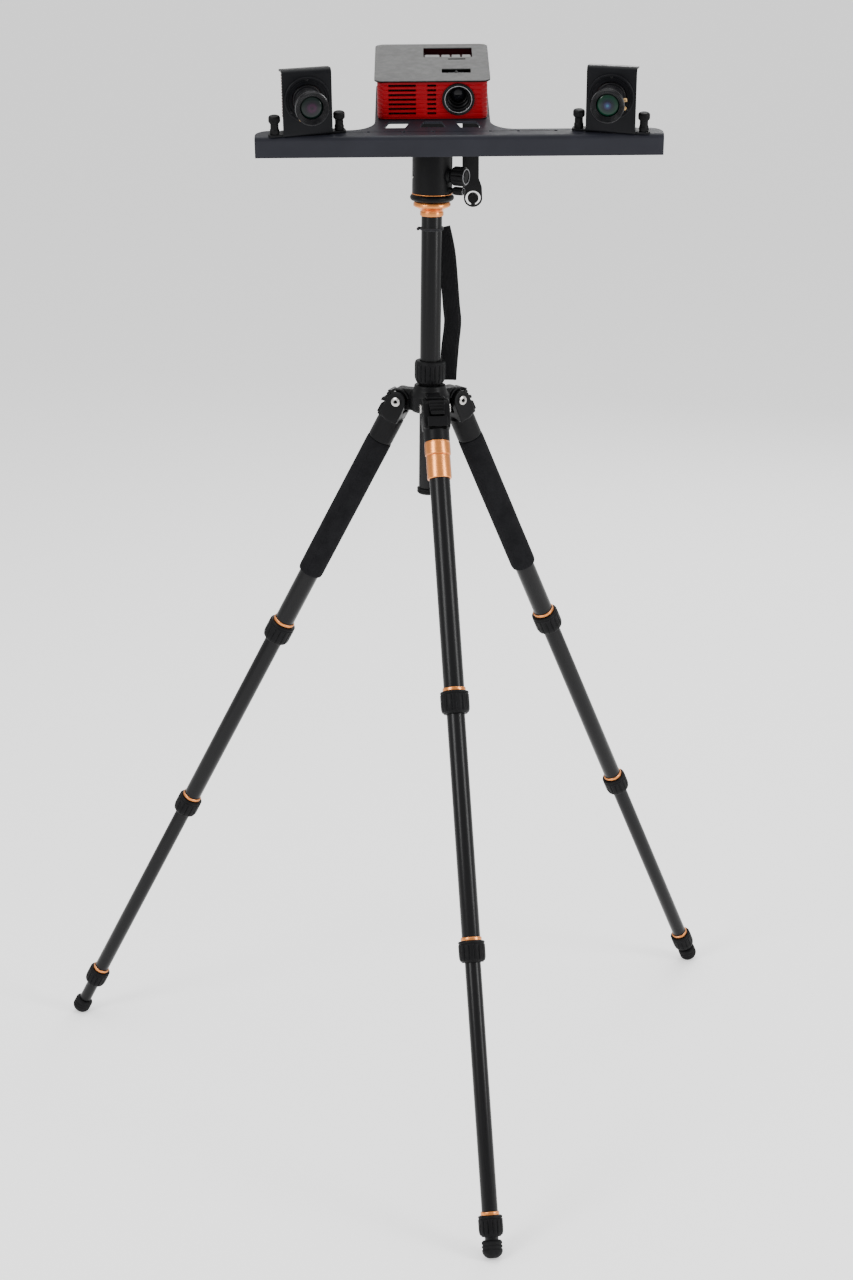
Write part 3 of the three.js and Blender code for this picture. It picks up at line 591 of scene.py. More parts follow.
def socket_bolt(name, place, radius, height, body, material="steel"):
    """A low bolt head with a hexagon socket, standing on the frame's XY plane."""
    socket = radius * 0.95
    profile = [
        (0, height * 0.25), (socket / 2, height * 0.25, 0), (socket / 2, height, 0),
        (radius * 0.62, height), (radius, height * 0.72, 0.5), (radius, 0, 0), (0, 0)][::-1]
    turned_piece(name, profile, place, material, body, steps=60, reach=0.25,
                 shape=hex_socket(socket, radius * 0.55))


def hinge_bolts(leg):
    for side_name, sign in (("near", -1), ("far", 1)):
        turned_piece(
            f"{leg}_leg_hinge_washer_{side_name}",
            [(0, -0.4), (6.9, -0.4), (7.4, 0.1), (6.9, 0.6), (0, 0.6)],
            at(LEG[leg], 0, sign * EAR_OUTER, 0, (0, sign, 0)), "black_casting", f"leg_{leg}")
        socket_bolt(f"{leg}_leg_hinge_bolt_{side_name}",
                    at(LEG[leg], 0, sign * (EAR_OUTER + 0.5), 0, (0, sign, 0)), 5.7, 1.9, f"leg_{leg}")
        # A near-black disc at the bottom of each hexagon socket: painted shade inside the socket.
        turned_piece(f"{leg}_leg_hinge_bolt_socket_{side_name}", [(0, 0.3), (2.2, 0.3), (2.2, 1), (0, 1)],
                     at(LEG[leg], 0, sign * (EAR_OUTER + 0.5), 0, (0, sign, 0)), "deep_black", f"leg_{leg}",
                     steps=24, reach=0.1)


def stop_tab(leg):
    """The spring tab over the hinge: a ridged thumb face that narrows to a lip."""
    back, face, top, ridge, pitch = EAR_RADIUS + 1.6, 15.9, 6.5, 1.4, 4
    points = [(back, top), (face, top)]
    for i in range(3):
        high = top - 1 - i * pitch
        points += [(face + ridge, high), (face + ridge, high - pitch / 2), (face, high - pitch / 2 - 0.6)]
    points += [(face + 4.4, -8), (face + 4.4, -12), (back, -10)]
    bm = bmesh.new()
    prism(bm, [rounded(points, 0.5, True, 2)], -10, 10, side)
    for vertex in bm.verts:
        vertex.co.y *= 1 - 0.012 * (top - vertex.co.z)
    as_piece(f"{leg}_leg_stop_tab", bm, LEG[leg], "black_casting", f"leg_{leg}_stop_tab",
             f"leg_{leg}_stop_tab", bevel=0.5)


def tube(name, radius, low, high, place, body, replaces):
    inner = radius - TUBE_WALL
    profile = [(inner, low), (radius, low), (radius, high), (inner, high), (inner, low)]
    turned_piece(name, profile, place, "gloss_tube", body, replaces, 96, reach=0.35)


def twist_lock(leg, i):
    top, length = LOCK_AT[i], LOCK_LENGTH[i]
    outer, bore = TUBE_RADII[i] + LOCK_WALL, TUBE_RADII[i] + 0.3
    lower = TUBE_RADII[i + 1] + 0.3
    bottom = -top - length
    profile = [
        (lower, bottom, 0), (outer - 3.2, bottom), (outer - 2.2, bottom + 1.6), (outer - 1.3, bottom + 1.8),
        (outer - 0.2, bottom + 5, 1.2), (outer, bottom + 8, 2), (outer, -top - 4.2),
        (outer - 0.8, -top - 3.7), (outer - 0.8, -top - 3.1), (outer - 0.1, -top - 2.6),
        (outer - 0.1, -top - 1, 0.8),
        (outer - 1.6, -top), (bore, -top, 0), (bore, -top - LOCK_SEAT - 0.3, 0),
        (lower, -top - LOCK_SEAT - 0.3, 0), (lower, bottom, 0)]
    turned_piece(f"{leg}_leg_twist_lock_{i + 1}", profile, LEG[leg], "lock_rubber",
                 f"leg_{leg}_lock_{i + 1}", f"leg_{leg}_lock_{i + 1}", 192, step=1.2, angle=45,
                 shape=ribs(16, 1.0, bottom + 2.4, -top - 4, outer - 2.3))
    ring = TUBE_RADII[i] + 1.4
    turned_piece(f"{leg}_leg_trim_ring_{i + 1}",
                 [(bore, -top + 0.4, 0), (ring, -top + 0.4), (ring, -top + 4), (bore, -top + 4.6),
                  (bore, -top + 0.4, 0)], LEG[leg], "copper_trim", section_body(leg, i), steps=96)


def section_body(leg, i):
    return f"leg_{leg}" if i == 0 else f"leg_{leg}_section_{i + 1}"


def foot(leg):
    """A rubber foot with two grooves, worn flat where it meets the floor."""
    reach, body = FOOT_REACH + LEG_EXTRA[leg], section_body(leg, 3)
    base, r = -reach, FOOT_RADIUS
    profile = [(0, base), (6, base, 0), (9.6, base + 2.3, 1.5), (r - 0.2, base + 6, 1.5), (r, base + 9.4),
               (r - 0.9, base + 10), (r - 0.9, base + 11), (r, base + 11.6), (r, base + 13.6),
               (r - 0.9, base + 14.2), (r - 0.9, base + 15.2), (r, base + 15.8), (r - 0.3, base + 18.4),
               (r - 2, base + FOOT_LENGTH), (0, base + FOOT_LENGTH)]
    bm = bmesh.new()
    revolve(bm, rounded(profile, 0.4), 72)
    to_leg = LEG[leg].inverted()
    floor_point = to_leg @ Vector((0, 0, 0)) / MM
    cutting = bmesh.ops.bisect_plane(
        bm, geom=[*bm.verts, *bm.edges, *bm.faces], dist=1e-4, plane_co=floor_point,
        plane_no=to_leg.to_3x3() @ Vector((0, 0, -1)), clear_outer=True)
    rim = [item for item in cutting["geom_cut"] if isinstance(item, bmesh.types.BMEdge)]
    bmesh.ops.contextual_create(bm, geom=rim)
    as_piece(f"{leg}_leg_rubber_foot", bm, LEG[leg], "foot_rubber", body, f"leg_{leg}_tube_4_and_foot",
             angle=30)
    tube(f"{leg}_leg_tube_4", TUBE_RADII[3], base + FOOT_LENGTH - 4, -LAST_TUBE_START - LEG_EXTRA[leg],
         LEG[leg], body, f"leg_{leg}_tube_4_and_foot")


def foam_grip(leg):
    """A foam sleeve: a little fatter in the middle, with soft ends and a faint seam."""
    start, inner, r = -BRACKET_END[leg] - 0.3, TUBE_RADII[0] + 0.3, GRIP_RADIUS
    profile = [(inner, -GRIP_END, 0), (r - 0.6, -GRIP_END, 1.6), (r, -GRIP_END + 4, 2),
               (r, start - 4, 2), (r - 0.6, start, 1.6), (inner, start, 0), (inner, -GRIP_END, 0)]

    def hand_worn(angle, height, radius):
        if radius < inner + 0.5:
            return radius
        wave = noise.noise(Vector((math.cos(angle), math.sin(angle), height / 40)))
        seam = math.exp(-((angle - math.pi / 2) / 0.03) ** 2)
        return radius + 0.14 * wave - 0.35 * seam

    made = turned_piece(f"{leg}_leg_foam_sleeve", profile, LEG[leg], "foam", f"leg_{leg}",
                        f"leg_{leg}_foam_grip", 160, hand_worn, step=4)


def monopod_coupling():
    """Two anodised steps with a narrow recessed band at the joint between them."""
    inner, start = TUBE_RADII[0] + 0.3, -BRACKET_END["front"] - 0.3
    upper, lower = BRACKET_RADIUS, BRACKET_RADIUS - 0.9
    profile = [(inner, -COUPLING_END, 0), (lower - 0.5, -COUPLING_END), (lower, -COUPLING_END + 1),
               (lower, -COUPLING_STEP), (lower - 0.5, -COUPLING_STEP + 0.4),
               (lower - 0.5, -COUPLING_STEP + 1),
               (upper - 0.3, -COUPLING_STEP + 1.2), (upper, -COUPLING_STEP + 2.2), (upper, start - 1.6),
               (upper - 0.35, start - 1.2), (upper - 0.35, start), (inner, start, 0),
               (inner, -COUPLING_END, 0)]
    turned_piece("front_leg_monopod_coupling", profile, LEG["front"], "copper_trim", "leg_front",
                 "monopod_coupling", 120, reach=0.3)


def build_leg(leg):
    bracket(leg)
    hinge_bolts(leg)
    stop_tab(leg)
    for i in range(3):
        low = -LOCK_AT[i] - LOCK_SEAT
        high = -TUBE_START if i == 0 else -LOCK_AT[i - 1] + TUBE_OVERLAP
        tube(f"{leg}_leg_tube_{i + 1}", TUBE_RADII[i], low, high, LEG[leg], section_body(leg, i),
             f"leg_{leg}_tube_{i + 1}")
        twist_lock(leg, i)
    foot(leg)
    if leg == "front":
        monopod_coupling()
    else:
        foam_grip(leg)


# ---- hub and column -----------------------------------------------------------------------------


def azimuth_of(leg):
    """A leg's direction about the column, in degrees."""
    out = TRIPOD.to_3x3().inverted() @ (LEG[leg].translation - TRIPOD.translation)
    return math.degrees(math.atan2(out.y, out.x))


def hub():
    """The shoulder: a collar round the column with a lug for each leg."""
    bm = bmesh.new()
    bore = COLUMN_RADIUS + 0.3
    revolve(bm, [
        (bore, HUB_BOTTOM), (HUB_RADIUS - 3, HUB_BOTTOM), (HUB_RADIUS, HUB_BOTTOM + 4), (HUB_RADIUS, 9),
        (HUB_RADIUS - 4.5, 16), (HUB_RADIUS - 5.5, HUB_TOP), (bore, HUB_TOP), (bore, HUB_BOTTOM)], 72)
    lug = [(bore + 2, -LUG_RADIUS)] + arc(PIVOT_RADIUS, 0, LUG_RADIUS, -90, HOOD_START, 14)
    lug += arc(PIVOT_RADIUS, 0, HOOD_RADIUS, HOOD_START, 90, 3) + [(bore + 2, HOOD_RADIUS)]
    hood = arc(PIVOT_RADIUS, 0, HOOD_RADIUS, HOOD_START, HOOD_END, 12)
    hood += arc(PIVOT_RADIUS, 0, EAR_RADIUS + 0.4, HOOD_END, HOOD_START, 12)
    for leg in LEGS:
        made = bmesh.new()
        prism(made, [lug], -LUG_HALF, LUG_HALF, side)
        prism(made, [hood], -HOOD_HALF, HOOD_HALF, side)
        bmesh.ops.rotate(made, verts=made.verts, cent=(0, 0, 0),
                         matrix=Matrix.Rotation(math.radians(azimuth_of(leg)), 3, "Z"))
        part = bpy.data.meshes.new("lug")
        made.to_mesh(part)
        made.free()
        bm.from_mesh(part)
    as_piece("tripod_shoulder", bm, TRIPOD, "black_casting", "hub", "hub", cast=0.7)


def column():
    r, inner = COLUMN_RADIUS, COLUMN_RADIUS - 1.5
    profile = [(inner, COLUMN_BOTTOM, 0), (r, COLUMN_BOTTOM), (r, COLUMN_TOP), (inner, COLUMN_TOP),
               (inner, COLUMN_BOTTOM, 0)]
    turned_piece("centre_column", profile, TRIPOD, "gloss_tube", "column", "column", 128)
    low = COLUMN_BOTTOM - CAP_HEIGHT
    cap = [(0, low), (CAP_RADIUS - 2, low, 1), (CAP_RADIUS, low + 2, 1), (CAP_RADIUS, COLUMN_BOTTOM - 4),
           (CAP_RADIUS - 0.6, COLUMN_BOTTOM - 3.5), (CAP_RADIUS - 0.6, COLUMN_BOTTOM - 2.9),
           (CAP_RADIUS, COLUMN_BOTTOM - 2.4), (CAP_RADIUS, COLUMN_BOTTOM - 0.8),
           (COLUMN_RADIUS - 2, COLUMN_BOTTOM, 0), (0, COLUMN_BOTTOM)]
    turned_piece("centre_column_end_cap", cap, TRIPOD, "lock_rubber", "column", "column")
    screw_place = at(TRIPOD, 5, -4, low + 0.4, (0, 0, -1))
    socket_bolt("centre_column_cap_screw", screw_place, 3.2, 3.4, "column", "copper_trim")


def column_lock():
    low, high, r = COLUMN_LOCK_LOW, COLUMN_LOCK_HIGH, COLUMN_LOCK_RADIUS
    bore = COLUMN_RADIUS + 0.3
    profile = [(bore, low, 0), (r - 4.4, low), (r - 4.0, low + 1.4), (r - 2.6, low + 2),
               (r - 0.4, low + 6.5, 2), (r, low + 10, 2), (r, high - 3.4), (r - 0.7, high - 2.9),
               (r - 0.4, high - 2.2),
               (r - 1.2, high - 0.4, 0.8), (r - 3, high), (bore + 0.4, high), (bore, high - 1, 0),
               (bore, low, 0)]
    turned_piece("column_twist_collar", profile, TRIPOD, "lock_rubber", "column_lock", "column_lock", 240,
                 ribs(20, 1.1, low + 3, high - 3, r - 2.5), step=1.2, angle=45)


def strap_cord():
    """The thin cord that ties the strap round the column, with a small knot."""
    radius, thick, height = COLUMN_RADIUS + 1.0, 0.95, 211.5
    bm = bmesh.new()
    steps = 96
    for strand in range(2):
        rings = []
        for k in range(steps):
            a = 2 * math.pi * k / steps
            lift = 1.3 * strand + 0.5 * math.sin(a + strand)
            centre = Vector((radius * math.cos(a), radius * math.sin(a), height + lift))
            out = Vector((math.cos(a), math.sin(a), 0))
            ring = []
            for j in range(10):
                b = 2 * math.pi * j / 10
                ring.append(bm.verts.new(centre + thick * (out * math.cos(b) + Vector((0, 0, math.sin(b))))))
            rings.append(ring)
        for k in range(steps):
            a, b = rings[k], rings[(k + 1) % steps]
            for j in range(10):
                bm.faces.new([a[j], a[(j + 1) % 10], b[(j + 1) % 10], b[j]])
    knot = Matrix.Translation((-radius - 2.2, -1, height + 0.4)) @ Matrix.Rotation(0.9, 4, "Y")
    revolve(bm, rounded([(0, -2.6), (1.5, -2.4), (2.1, 0), (1.5, 2.4), (0, 2.6)], 1), 24, turn=knot)
    as_piece("strap_tie_cord", bm, TRIPOD, "thread", "column")


STRAP_WIDTH, STRAP_THICK, STRAP_TIE = 20, 1.2, 211
# The tape's middle line, in the tripod's frame: down the near ply, round the fold, up the far ply.
STRAP_LINE = [
    (12, 15.1, 211), (15.6, 15.2, 195), (19.6, 15.3, 170), (24.6, 15.4, 116), (26.4, 15.5, 95),
    (23.2, 15.4, 62), (22.6, 15.0, 38), (22.6, 15.2, 28), (22.6, 17.2, 24.4), (22.8, 19.2, 28),
    (23.4, 19.6, 40), (25.4, 20.6, 68), (27.6, 20.9, 95), (25.4, 20.2, 118), (20.4, 18.8, 172),
    (16.4, 17.6, 195), (12.6, 16.9, 211)]


def smooth_line(points, per=10):
    """A Catmull-Rom curve through the points."""
    ends = [Vector(points[0]) * 2 - Vector(points[1]), *map(Vector, points),
            Vector(points[-1]) * 2 - Vector(points[-2])]
    line = []
    for a, b, c, d in zip(ends, ends[1:], ends[2:], ends[3:]):
        for k in range(per):
            t = k / per
            line.append(0.5 * (2 * b + (c - a) * t + (2 * a - 5 * b + 4 * c - d) * t * t
                               + (3 * b - a - 3 * c + d) * t ** 3))
    return [*line, ends[-2]]


def tape_frames(line):
    """At each point of the line: the point, the tape's width direction and its outward normal."""
    frames = []
    for i, point in enumerate(line):
        tangent = (line[min(i + 1, len(line) - 1)] - line[max(i - 1, 0)]).normalized()
        width = (Vector((1, 0, 0)) - tangent * tangent.x).normalized()
        frames.append((point, width, tangent.cross(width).normalized()))
    return frames


def wrist_strap():
    """A loop of webbing that hangs beside the column, with its edge stitching."""
    line = smooth_line(STRAP_LINE)
    frames = tape_frames(line)
    half, thick = STRAP_WIDTH / 2, STRAP_THICK / 2
    section = rounded([(-half, -thick), (half, -thick), (half, thick), (-half, thick)], 0.55, True, 2)
    section = dense([*section, section[0]], 2.5)[:-1]
    bm = bmesh.new()
    flat = bm.loops.layers.uv.new("flat")
    rings, lengths = [], [0.0]
    for i, (point, width, normal) in enumerate(frames):
        if i:
            lengths.append(lengths[-1] + (point - line[i - 1]).length)
        cup = 0.5 * math.sin(lengths[-1] / 30)
        rings.append([bm.verts.new(point + width * a + normal * (b + cup * (a / half) ** 2))
                      for a, b in section])
    count = len(section)
    for i in range(len(rings) - 1):
        for j in range(count):
            k = (j + 1) % count
            face = bm.faces.new([rings[i][j], rings[i][k], rings[i + 1][k], rings[i + 1][j]])
            spots = ((section[j][0], lengths[i]), (section[k][0], lengths[i]),
                     (section[k][0], lengths[i + 1]), (section[j][0], lengths[i + 1]))
            for loop, (u, v) in zip(face.loops, spots):
                loop[flat].uv = (u * MM, v * MM)
    for ring in (rings[0], rings[-1]):
        bm.faces.new(ring)
    strap = as_piece("wrist_strap_webbing", bm, TRIPOD, "webbing", "column", "wrist_strap", angle=50)
    stitches = bmesh.new()
    total, pitch = lengths[-1], 3.2
    for row in (-half + 2.2, half - 2.2):
        reach = pitch
        for i, (point, width, normal) in enumerate(frames[:-1]):
            if lengths[i] < reach or lengths[i] > total - pitch:
                continue
            reach += pitch
            along = (line[i + 1] - point).normalized()
            outward = normal if normal.y * (point.y - 17.2) > 0 else -normal
            cup = 0.5 * math.sin(lengths[i] / 30) * (row / half) ** 2
            centre = point + width * row + normal * cup + outward * (thick + 0.02)
            turn = Matrix((width, along, outward)).transposed().to_4x4()
            spot = Matrix.Translation(centre) @ turn @ Matrix.Diagonal((0.34, 1.15, 0.22, 1))
            bmesh.ops.create_icosphere(stitches, subdivisions=2, radius=1, matrix=spot)
    thread = as_piece("wrist_strap_stitching", stitches, TRIPOD, "thread", "column")
    squash_strap(strap)
    squash_strap(thread)


def squash_strap(piece):
    """Gives the piece a mesh of its own."""
    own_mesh(piece)


# ---- ball head ----------------------------------------------------------------------------------


def head_base():
    """The copper-coloured flare between the column and the panning head."""
    low = COLUMN_TOP + 0.3
    profile = [(0, low), (13.6, low), (14.2, low + 0.6), (14.2, low + 5), (13.5, low + 5.5),
               (13.5, low + 6.1), (14.2, low + 7, 1.2), (17, low + 9.2, 2.5), (21, low + 11),
               (22.4, low + 12, 1),
               (22.4, low + 14.6, 1), (21.2, PAN_HEIGHT - 0.6), (20, PAN_HEIGHT), (0, PAN_HEIGHT)]
    turned_piece("head_base_flare", profile, TRIPOD, "copper_trim", "column", "head_base", 120)


def head_housing():
    """The ball cup with its foot ring, a copper line above the ring and a set screw at the side."""
    foot_low, r = PAN_HEIGHT + 0.3, HOUSING_RADIUS
    ring_top = foot_low + 8
    ring = [(0, foot_low)] + arc(RING_RADIUS - 4, foot_low + 4, 4, -90, 90, 14) + [(0, ring_top)]
    bm = bmesh.new()
    revolve(bm, ring, 128)
    as_piece("head_foot_ring", bm, TRIPOD, "black_casting", "ball_head", "head_housing")
    turned_piece("head_copper_line",
                 [(0, ring_top + 0.1), (r + 0.3, ring_top + 0.1), (r + 0.5, ring_top + 0.6),
                  (r + 0.3, HOUSING_LOW - 0.1), (0, HOUSING_LOW - 0.1)],
                 TRIPOD, "copper_trim", "ball_head", "head_housing", 120, reach=0.3)
    cup = arc(0, BALL_Z, BALL_SEAT, 26, -90, 18)
    profile = [(0, HOUSING_LOW), (r - 0.4, HOUSING_LOW), (r, HOUSING_LOW + 0.7), (r, HOUSING_TOP - 3, 1.5),
               (r - 1.6, HOUSING_TOP - 0.4), (r - 2.6, HOUSING_TOP), (cup[0][0] + 0.6, HOUSING_TOP)]
    bm = bmesh.new()
    revolve(bm, rounded(profile, 0.4) + cup, 128)
    as_piece("head_ball_cup", bm, TRIPOD, "black_casting", "ball_head", "head_housing", angle=32)
    for name, (height, start, _, radius) in (("ball", BALL_KNOB), ("pan", PAN_KNOB)):
        neck = 0.7 * radius
        turned_piece(f"head_{name}_knob_boss",
                     [(0, 18), (neck + 1, 18), (neck + 0.8, 23.5), (neck, 25, 0.8), (neck, start - 0.4),
                      (0, start - 0.4)],
                     at(TRIPOD, 0, 0, height, knob_direction()), "black_casting", "ball_head", "head_housing")
    turned_piece("head_set_screw", [(0, 23.4), (2.4, 23.4), (2.4, 24.6), (1.6, 25), (1.5, 24.4), (0, 24.4)],
                 at(TRIPOD, 0, 0, BALL_KNOB[0] - 2, (-1, -0.25, 0)), "steel", "ball_head")


def knob_direction():
    turn = math.radians(KNOB_AZIMUTH)
    return (math.cos(turn), math.sin(turn), 0)


def lock_knob(name, node, size, flutes):
    """A fluted knob on the ball head, with a ringed end face."""
    height, s, e, r = size
    neck, edge = 0.65 * r, 0.12 * r
    profile = [(0, s), (neck, s), (neck, s + 1.6), (r - edge, s + 2.2), (r, s + 3.4, 0.8), (r, e - 2.4, 0.8),
               (r - edge, e - 0.4, 0.6), (r - 2 * edge, e), (r - 2.4 * edge, e - 0.9),
               (r - 4 * edge, e - 0.9), (r - 4.4 * edge, e - 0.2), (0, e)]
    place = at(TRIPOD, 0, 0, height, knob_direction())
    turned_piece(name, profile, place, "lock_rubber", node, node, 160,
                 ribs(flutes, 0.1 * r, s + 2.6, e - 0.6, r - 2 * edge, 2), step=0.8, angle=40)
    rim = [(r - 2.3 * edge, e - 0.5, 0), (r - 1.7 * edge, e - 0.5, 0), (r - 1.7 * edge, e + 0.1),
           (r - 2.3 * edge, e + 0.1), (r - 2.3 * edge, e - 0.5, 0)]
    turned_piece(f"{name}_ring", rim, place, "rim_metal", node, steps=96, reach=0.1)


def ball():
    profile = arc(0, 0, BALL_RADIUS, -90, 66, 40)
    profile += [(7.2, BALL_RADIUS - 1.0), (0, BALL_RADIUS - 1.0)]
    bm = bmesh.new()
    revolve(bm, profile, 96)
    as_piece("ball_sphere", bm, at(TRIPOD, 0, 0, BALL_Z), "ball_metal", "ball", "ball", angle=30)


def head_clamp():
    """The stem, its screw clamp and the dovetail plate under the scanner."""
    under = PLATE_TOP - PLATE_SHEET - 0.3
    stem = [(0, 18.6), (6.5, 18.6, 0), (6.5, 24), (7.4, 26, 2), (17, 28.4), (20, 29.4), (20, 32), (0, 32)]
    turned_piece("clamp_stem", stem, SCANNER, "black_casting", "scanner", "head_clamp")
    jaw = [(-25, 31), (25, 31), (25, 42), (20, 44), (20, 46), (-20, 46), (-20, 44), (-25, 42)]
    plate = [(-19.7, 46.2), (19.7, 46.2), (24, 49.5), (24, under), (-24, under), (-24, 49.5)]
    for name, outline, depth in (("clamp_jaw", jaw, 19), ("clamp_plate", plate, 22)):
        bm = bmesh.new()
        prism(bm, [rounded(outline, 0.8, True)], -depth, depth, side)
        as_piece(name, bm, SCANNER, "black_casting", "scanner", "head_clamp", bevel=0.6)
    knob = [(0, 0), (4, 0), (4, 3.4), (7.4, 4.2), (7.4, 12.6, 0.8), (6.2, 14), (0, 14)]
    turned_piece("clamp_screw_knob", knob, at(SCANNER, 0, 18.6, 37.5, (0, 1, 0)), "lock_rubber", "scanner",
                 "head_clamp", 128, ribs(10, 0.9, 4.4, 13.4, 6.2, 2), step=1)


# ---- the plate ----------------------------------------------------------------------------------


def ring_of(x, y, radius, steps=20):
    return arc(x, y, radius, 0, 360, steps)[:-1]


def plate_outline():
    left, right, front = LENS_X - BAR_HALF, LENS_X + BAR_HALF, PLATE_FRONT + PLATE_BEND
    corner, fillet, half = PLATE_CORNER, TONGUE_FILLET, TONGUE_HALF
    points = [(left, front), (right, front)]
    points += arc(right - corner, PLATE_REAR - corner, corner, 0, 90)
    points += arc(half + fillet, PLATE_REAR + fillet, fillet, 270, 180, 12)
    points += arc(half - TONGUE_CORNER, TONGUE_REAR - TONGUE_CORNER, TONGUE_CORNER, 0, 90)
    points += arc(-half + TONGUE_CORNER, TONGUE_REAR - TONGUE_CORNER, TONGUE_CORNER, 90, 180)
    points += arc(-half - fillet, PLATE_REAR + fillet, fillet, 0, -90, 12)
    points += arc(left + corner, PLATE_REAR - corner, corner, 90, 180)
    return points


HOLE_XS = (-74, -33, 0, 66, 98, 141)
HOLE_Y = -84


def t_plate():
    """Bent sheet: a flat T with cut-outs, a round bend along its front and a flange below it."""
    bm = bmesh.new()
    windows = [[(s * 57, -69.5), (s * 32, -69.5), (s * 26, -46), (s * 50.5, -46)] for s in (-1, 1)]
    windows.append([(-15, -68), (15, -68), (11, -46), (-11, -46)])
    loops = [plate_outline()] + [rounded(w, 1.6, True) for w in windows]
    loops += [ring_of(x, HOLE_Y, 2.0) for x in HOLE_XS]
    edges_of, first = [], None
    for loop in loops:
        corners = [bm.verts.new((x, y, PLATE_TOP)) for x, y in loop]
        first = first or corners[:2]
        edges_of += [bm.edges.new(pair) for pair in zip(corners, corners[1:] + corners[:1])]
    bmesh.ops.triangle_fill(bm, use_beauty=True, edges=edges_of)
    left, right = first
    for step in range(1, 8):
        if step < 7:
            turn = math.radians(90 * step / 6)
            y = PLATE_FRONT + PLATE_BEND * (1 - math.sin(turn))
            z = PLATE_TOP - PLATE_BEND * (1 - math.cos(turn))
        else:
            y, z = PLATE_FRONT, PLATE_TOP - PLATE_DROP
        row = [bm.verts.new((x, y, z)) for x in (left.co.x, right.co.x)]
        bm.faces.new([left, right, row[1], row[0]])
        left, right = row
    bmesh.ops.recalc_face_normals(bm, faces=bm.faces)
    up = max(bm.faces, key=lambda face: abs(face.normal.z) * face.calc_area())
    if up.normal.z < 0:
        bmesh.ops.reverse_faces(bm, faces=bm.faces)
    sheet_piece("bent_t_plate", bm, SCANNER, "slate_sheet", "scanner", "t_plate", PLATE_SHEET, 0.5)
    scribe = bmesh.new()
    for a, b in ((-128, -76.5), (-71.5, -35.5), (-30.5, -2.5), (2.5, 63.5), (68.5, 95.5), (100.5, 138.5)):
        block(scribe, (a, HOLE_Y - 0.35, PLATE_TOP - 0.2), (b, HOLE_Y + 0.35, PLATE_TOP + 0.06))
    as_piece("plate_scribe_lines", scribe, SCANNER, "deep_black", "scanner")


def sheet_piece(name, bm, place, material, body, replaces, thickness, bevel):
    """A bent sheet from its outer surface, whose faces already point outwards."""
    bmesh.ops.scale(bm, vec=(MM, MM, MM), verts=bm.verts)
    mesh = bpy.data.meshes.new(name)
    bm.to_mesh(mesh)
    bm.free()
    obj = bpy.data.objects.new(name, mesh)
    bpy.context.scene.collection.objects.link(obj)
    skin = obj.modifiers.new("thickness", "SOLIDIFY")
    skin.thickness, skin.offset, skin.use_even_offset = thickness * MM, -1, True
    edge = obj.modifiers.new("edges", "BEVEL")
    edge.width, edge.segments, edge.limit_method = bevel * MM, 3, "ANGLE"
    edge.angle_limit = math.radians(50)
    applied(obj)
    obj.data.shade_smooth()
    obj.data.set_sharp_from_angle(angle=math.radians(50))
    obj.modifiers.new("normals", "WEIGHTED_NORMAL").keep_sharp = True
    obj.data.materials.clear()
    obj.data.materials.append(MATERIALS[material])
    obj.matrix_world = place
    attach(obj, body)
    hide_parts(replaces)
    return obj


def cable_arm():
    """A flat arm behind the ball head that ends in an eye round a knurled screw."""
    under = PLATE_TOP - PLATE_SHEET - 0.3
    left, right, front, rear = 36, 56, 30, 33
    x, z, outer, inner = 49, -65, 11.2, 9.2
    outline = [(left, under), (left, z + 16), (x - outer, z + 4)]
    outline += arc(x, z, outer, 175, 365, 20) + [(right + 3.6, z + 14), (right, z + 24), (right, under)]
    bm = bmesh.new()
    prism(bm, [rounded(outline, 1, True, 2), ring_of(x, z, inner, 32)], front, rear, side)
    as_piece("cable_arm", bm, SCANNER, "black_casting", "scanner", "cable_bracket", bevel=0.6)
    tab = bmesh.new()
    prism(tab, [rounded([(left, front), (right, front), (right, front + 22), (left, front + 22)], 2, True)],
          under - 3, under)
    as_piece("cable_arm_foot", tab, SCANNER, "black_casting", "scanner", "cable_bracket", bevel=0.5)
    disc = [(0, -1.6), (5.6, -1.6), (6.6, -0.8), (6.6, 3.6), (5.4, 4.6), (4.6, 4.2), (0, 4.2)]
    turned_piece("cable_arm_screw", disc, at(SCANNER, x, rear, z, (0, -1, 0)), "lock_rubber", "scanner",
                 "cable_bracket", 96, ribs(12, 0.5, -0.7, 3.6, 6.2, 2), step=0.8)
    spokes = bmesh.new()
    block(spokes, (x - 2.5, front + 0.2, z - inner - 1), (x + 2.5, rear - 0.2, z))
    as_piece("cable_arm_spoke", spokes, SCANNER, "black_casting", "scanner", bevel=0.3)


# ---- projector ----------------------------------------------------------------------------------

VENT_PITCH, VENT_HEIGHT, VENT_LOW, VENT_ROWS = 5.45, 2.6, 6, 7
VENT_COLUMNS = ((-51, -19), (-6, 4.5))


def case_inset(height):
    """How far the case's outline is drawn in at a height: a groove at each vent row, a round foot."""
    above = height - BODY_LOW
    phase = (above - VENT_LOW - VENT_HEIGHT / 2) / VENT_PITCH
    groove = max(0.0, math.cos(2 * math.pi * phase)) ** 5 * 0.55
    foot_round = 2.2 - math.sqrt(max(0, 2.2 ** 2 - (2.2 - min(above, 2.2)) ** 2))
    return groove + foot_round


def case_outline(inset, steps=10):
    corner = BODY_CORNER - inset
    return rounded_rectangle(-BODY_HALF + inset, BODY_FRONT + inset, BODY_HALF - inset, BODY_REAR - inset,
                             corner, steps)


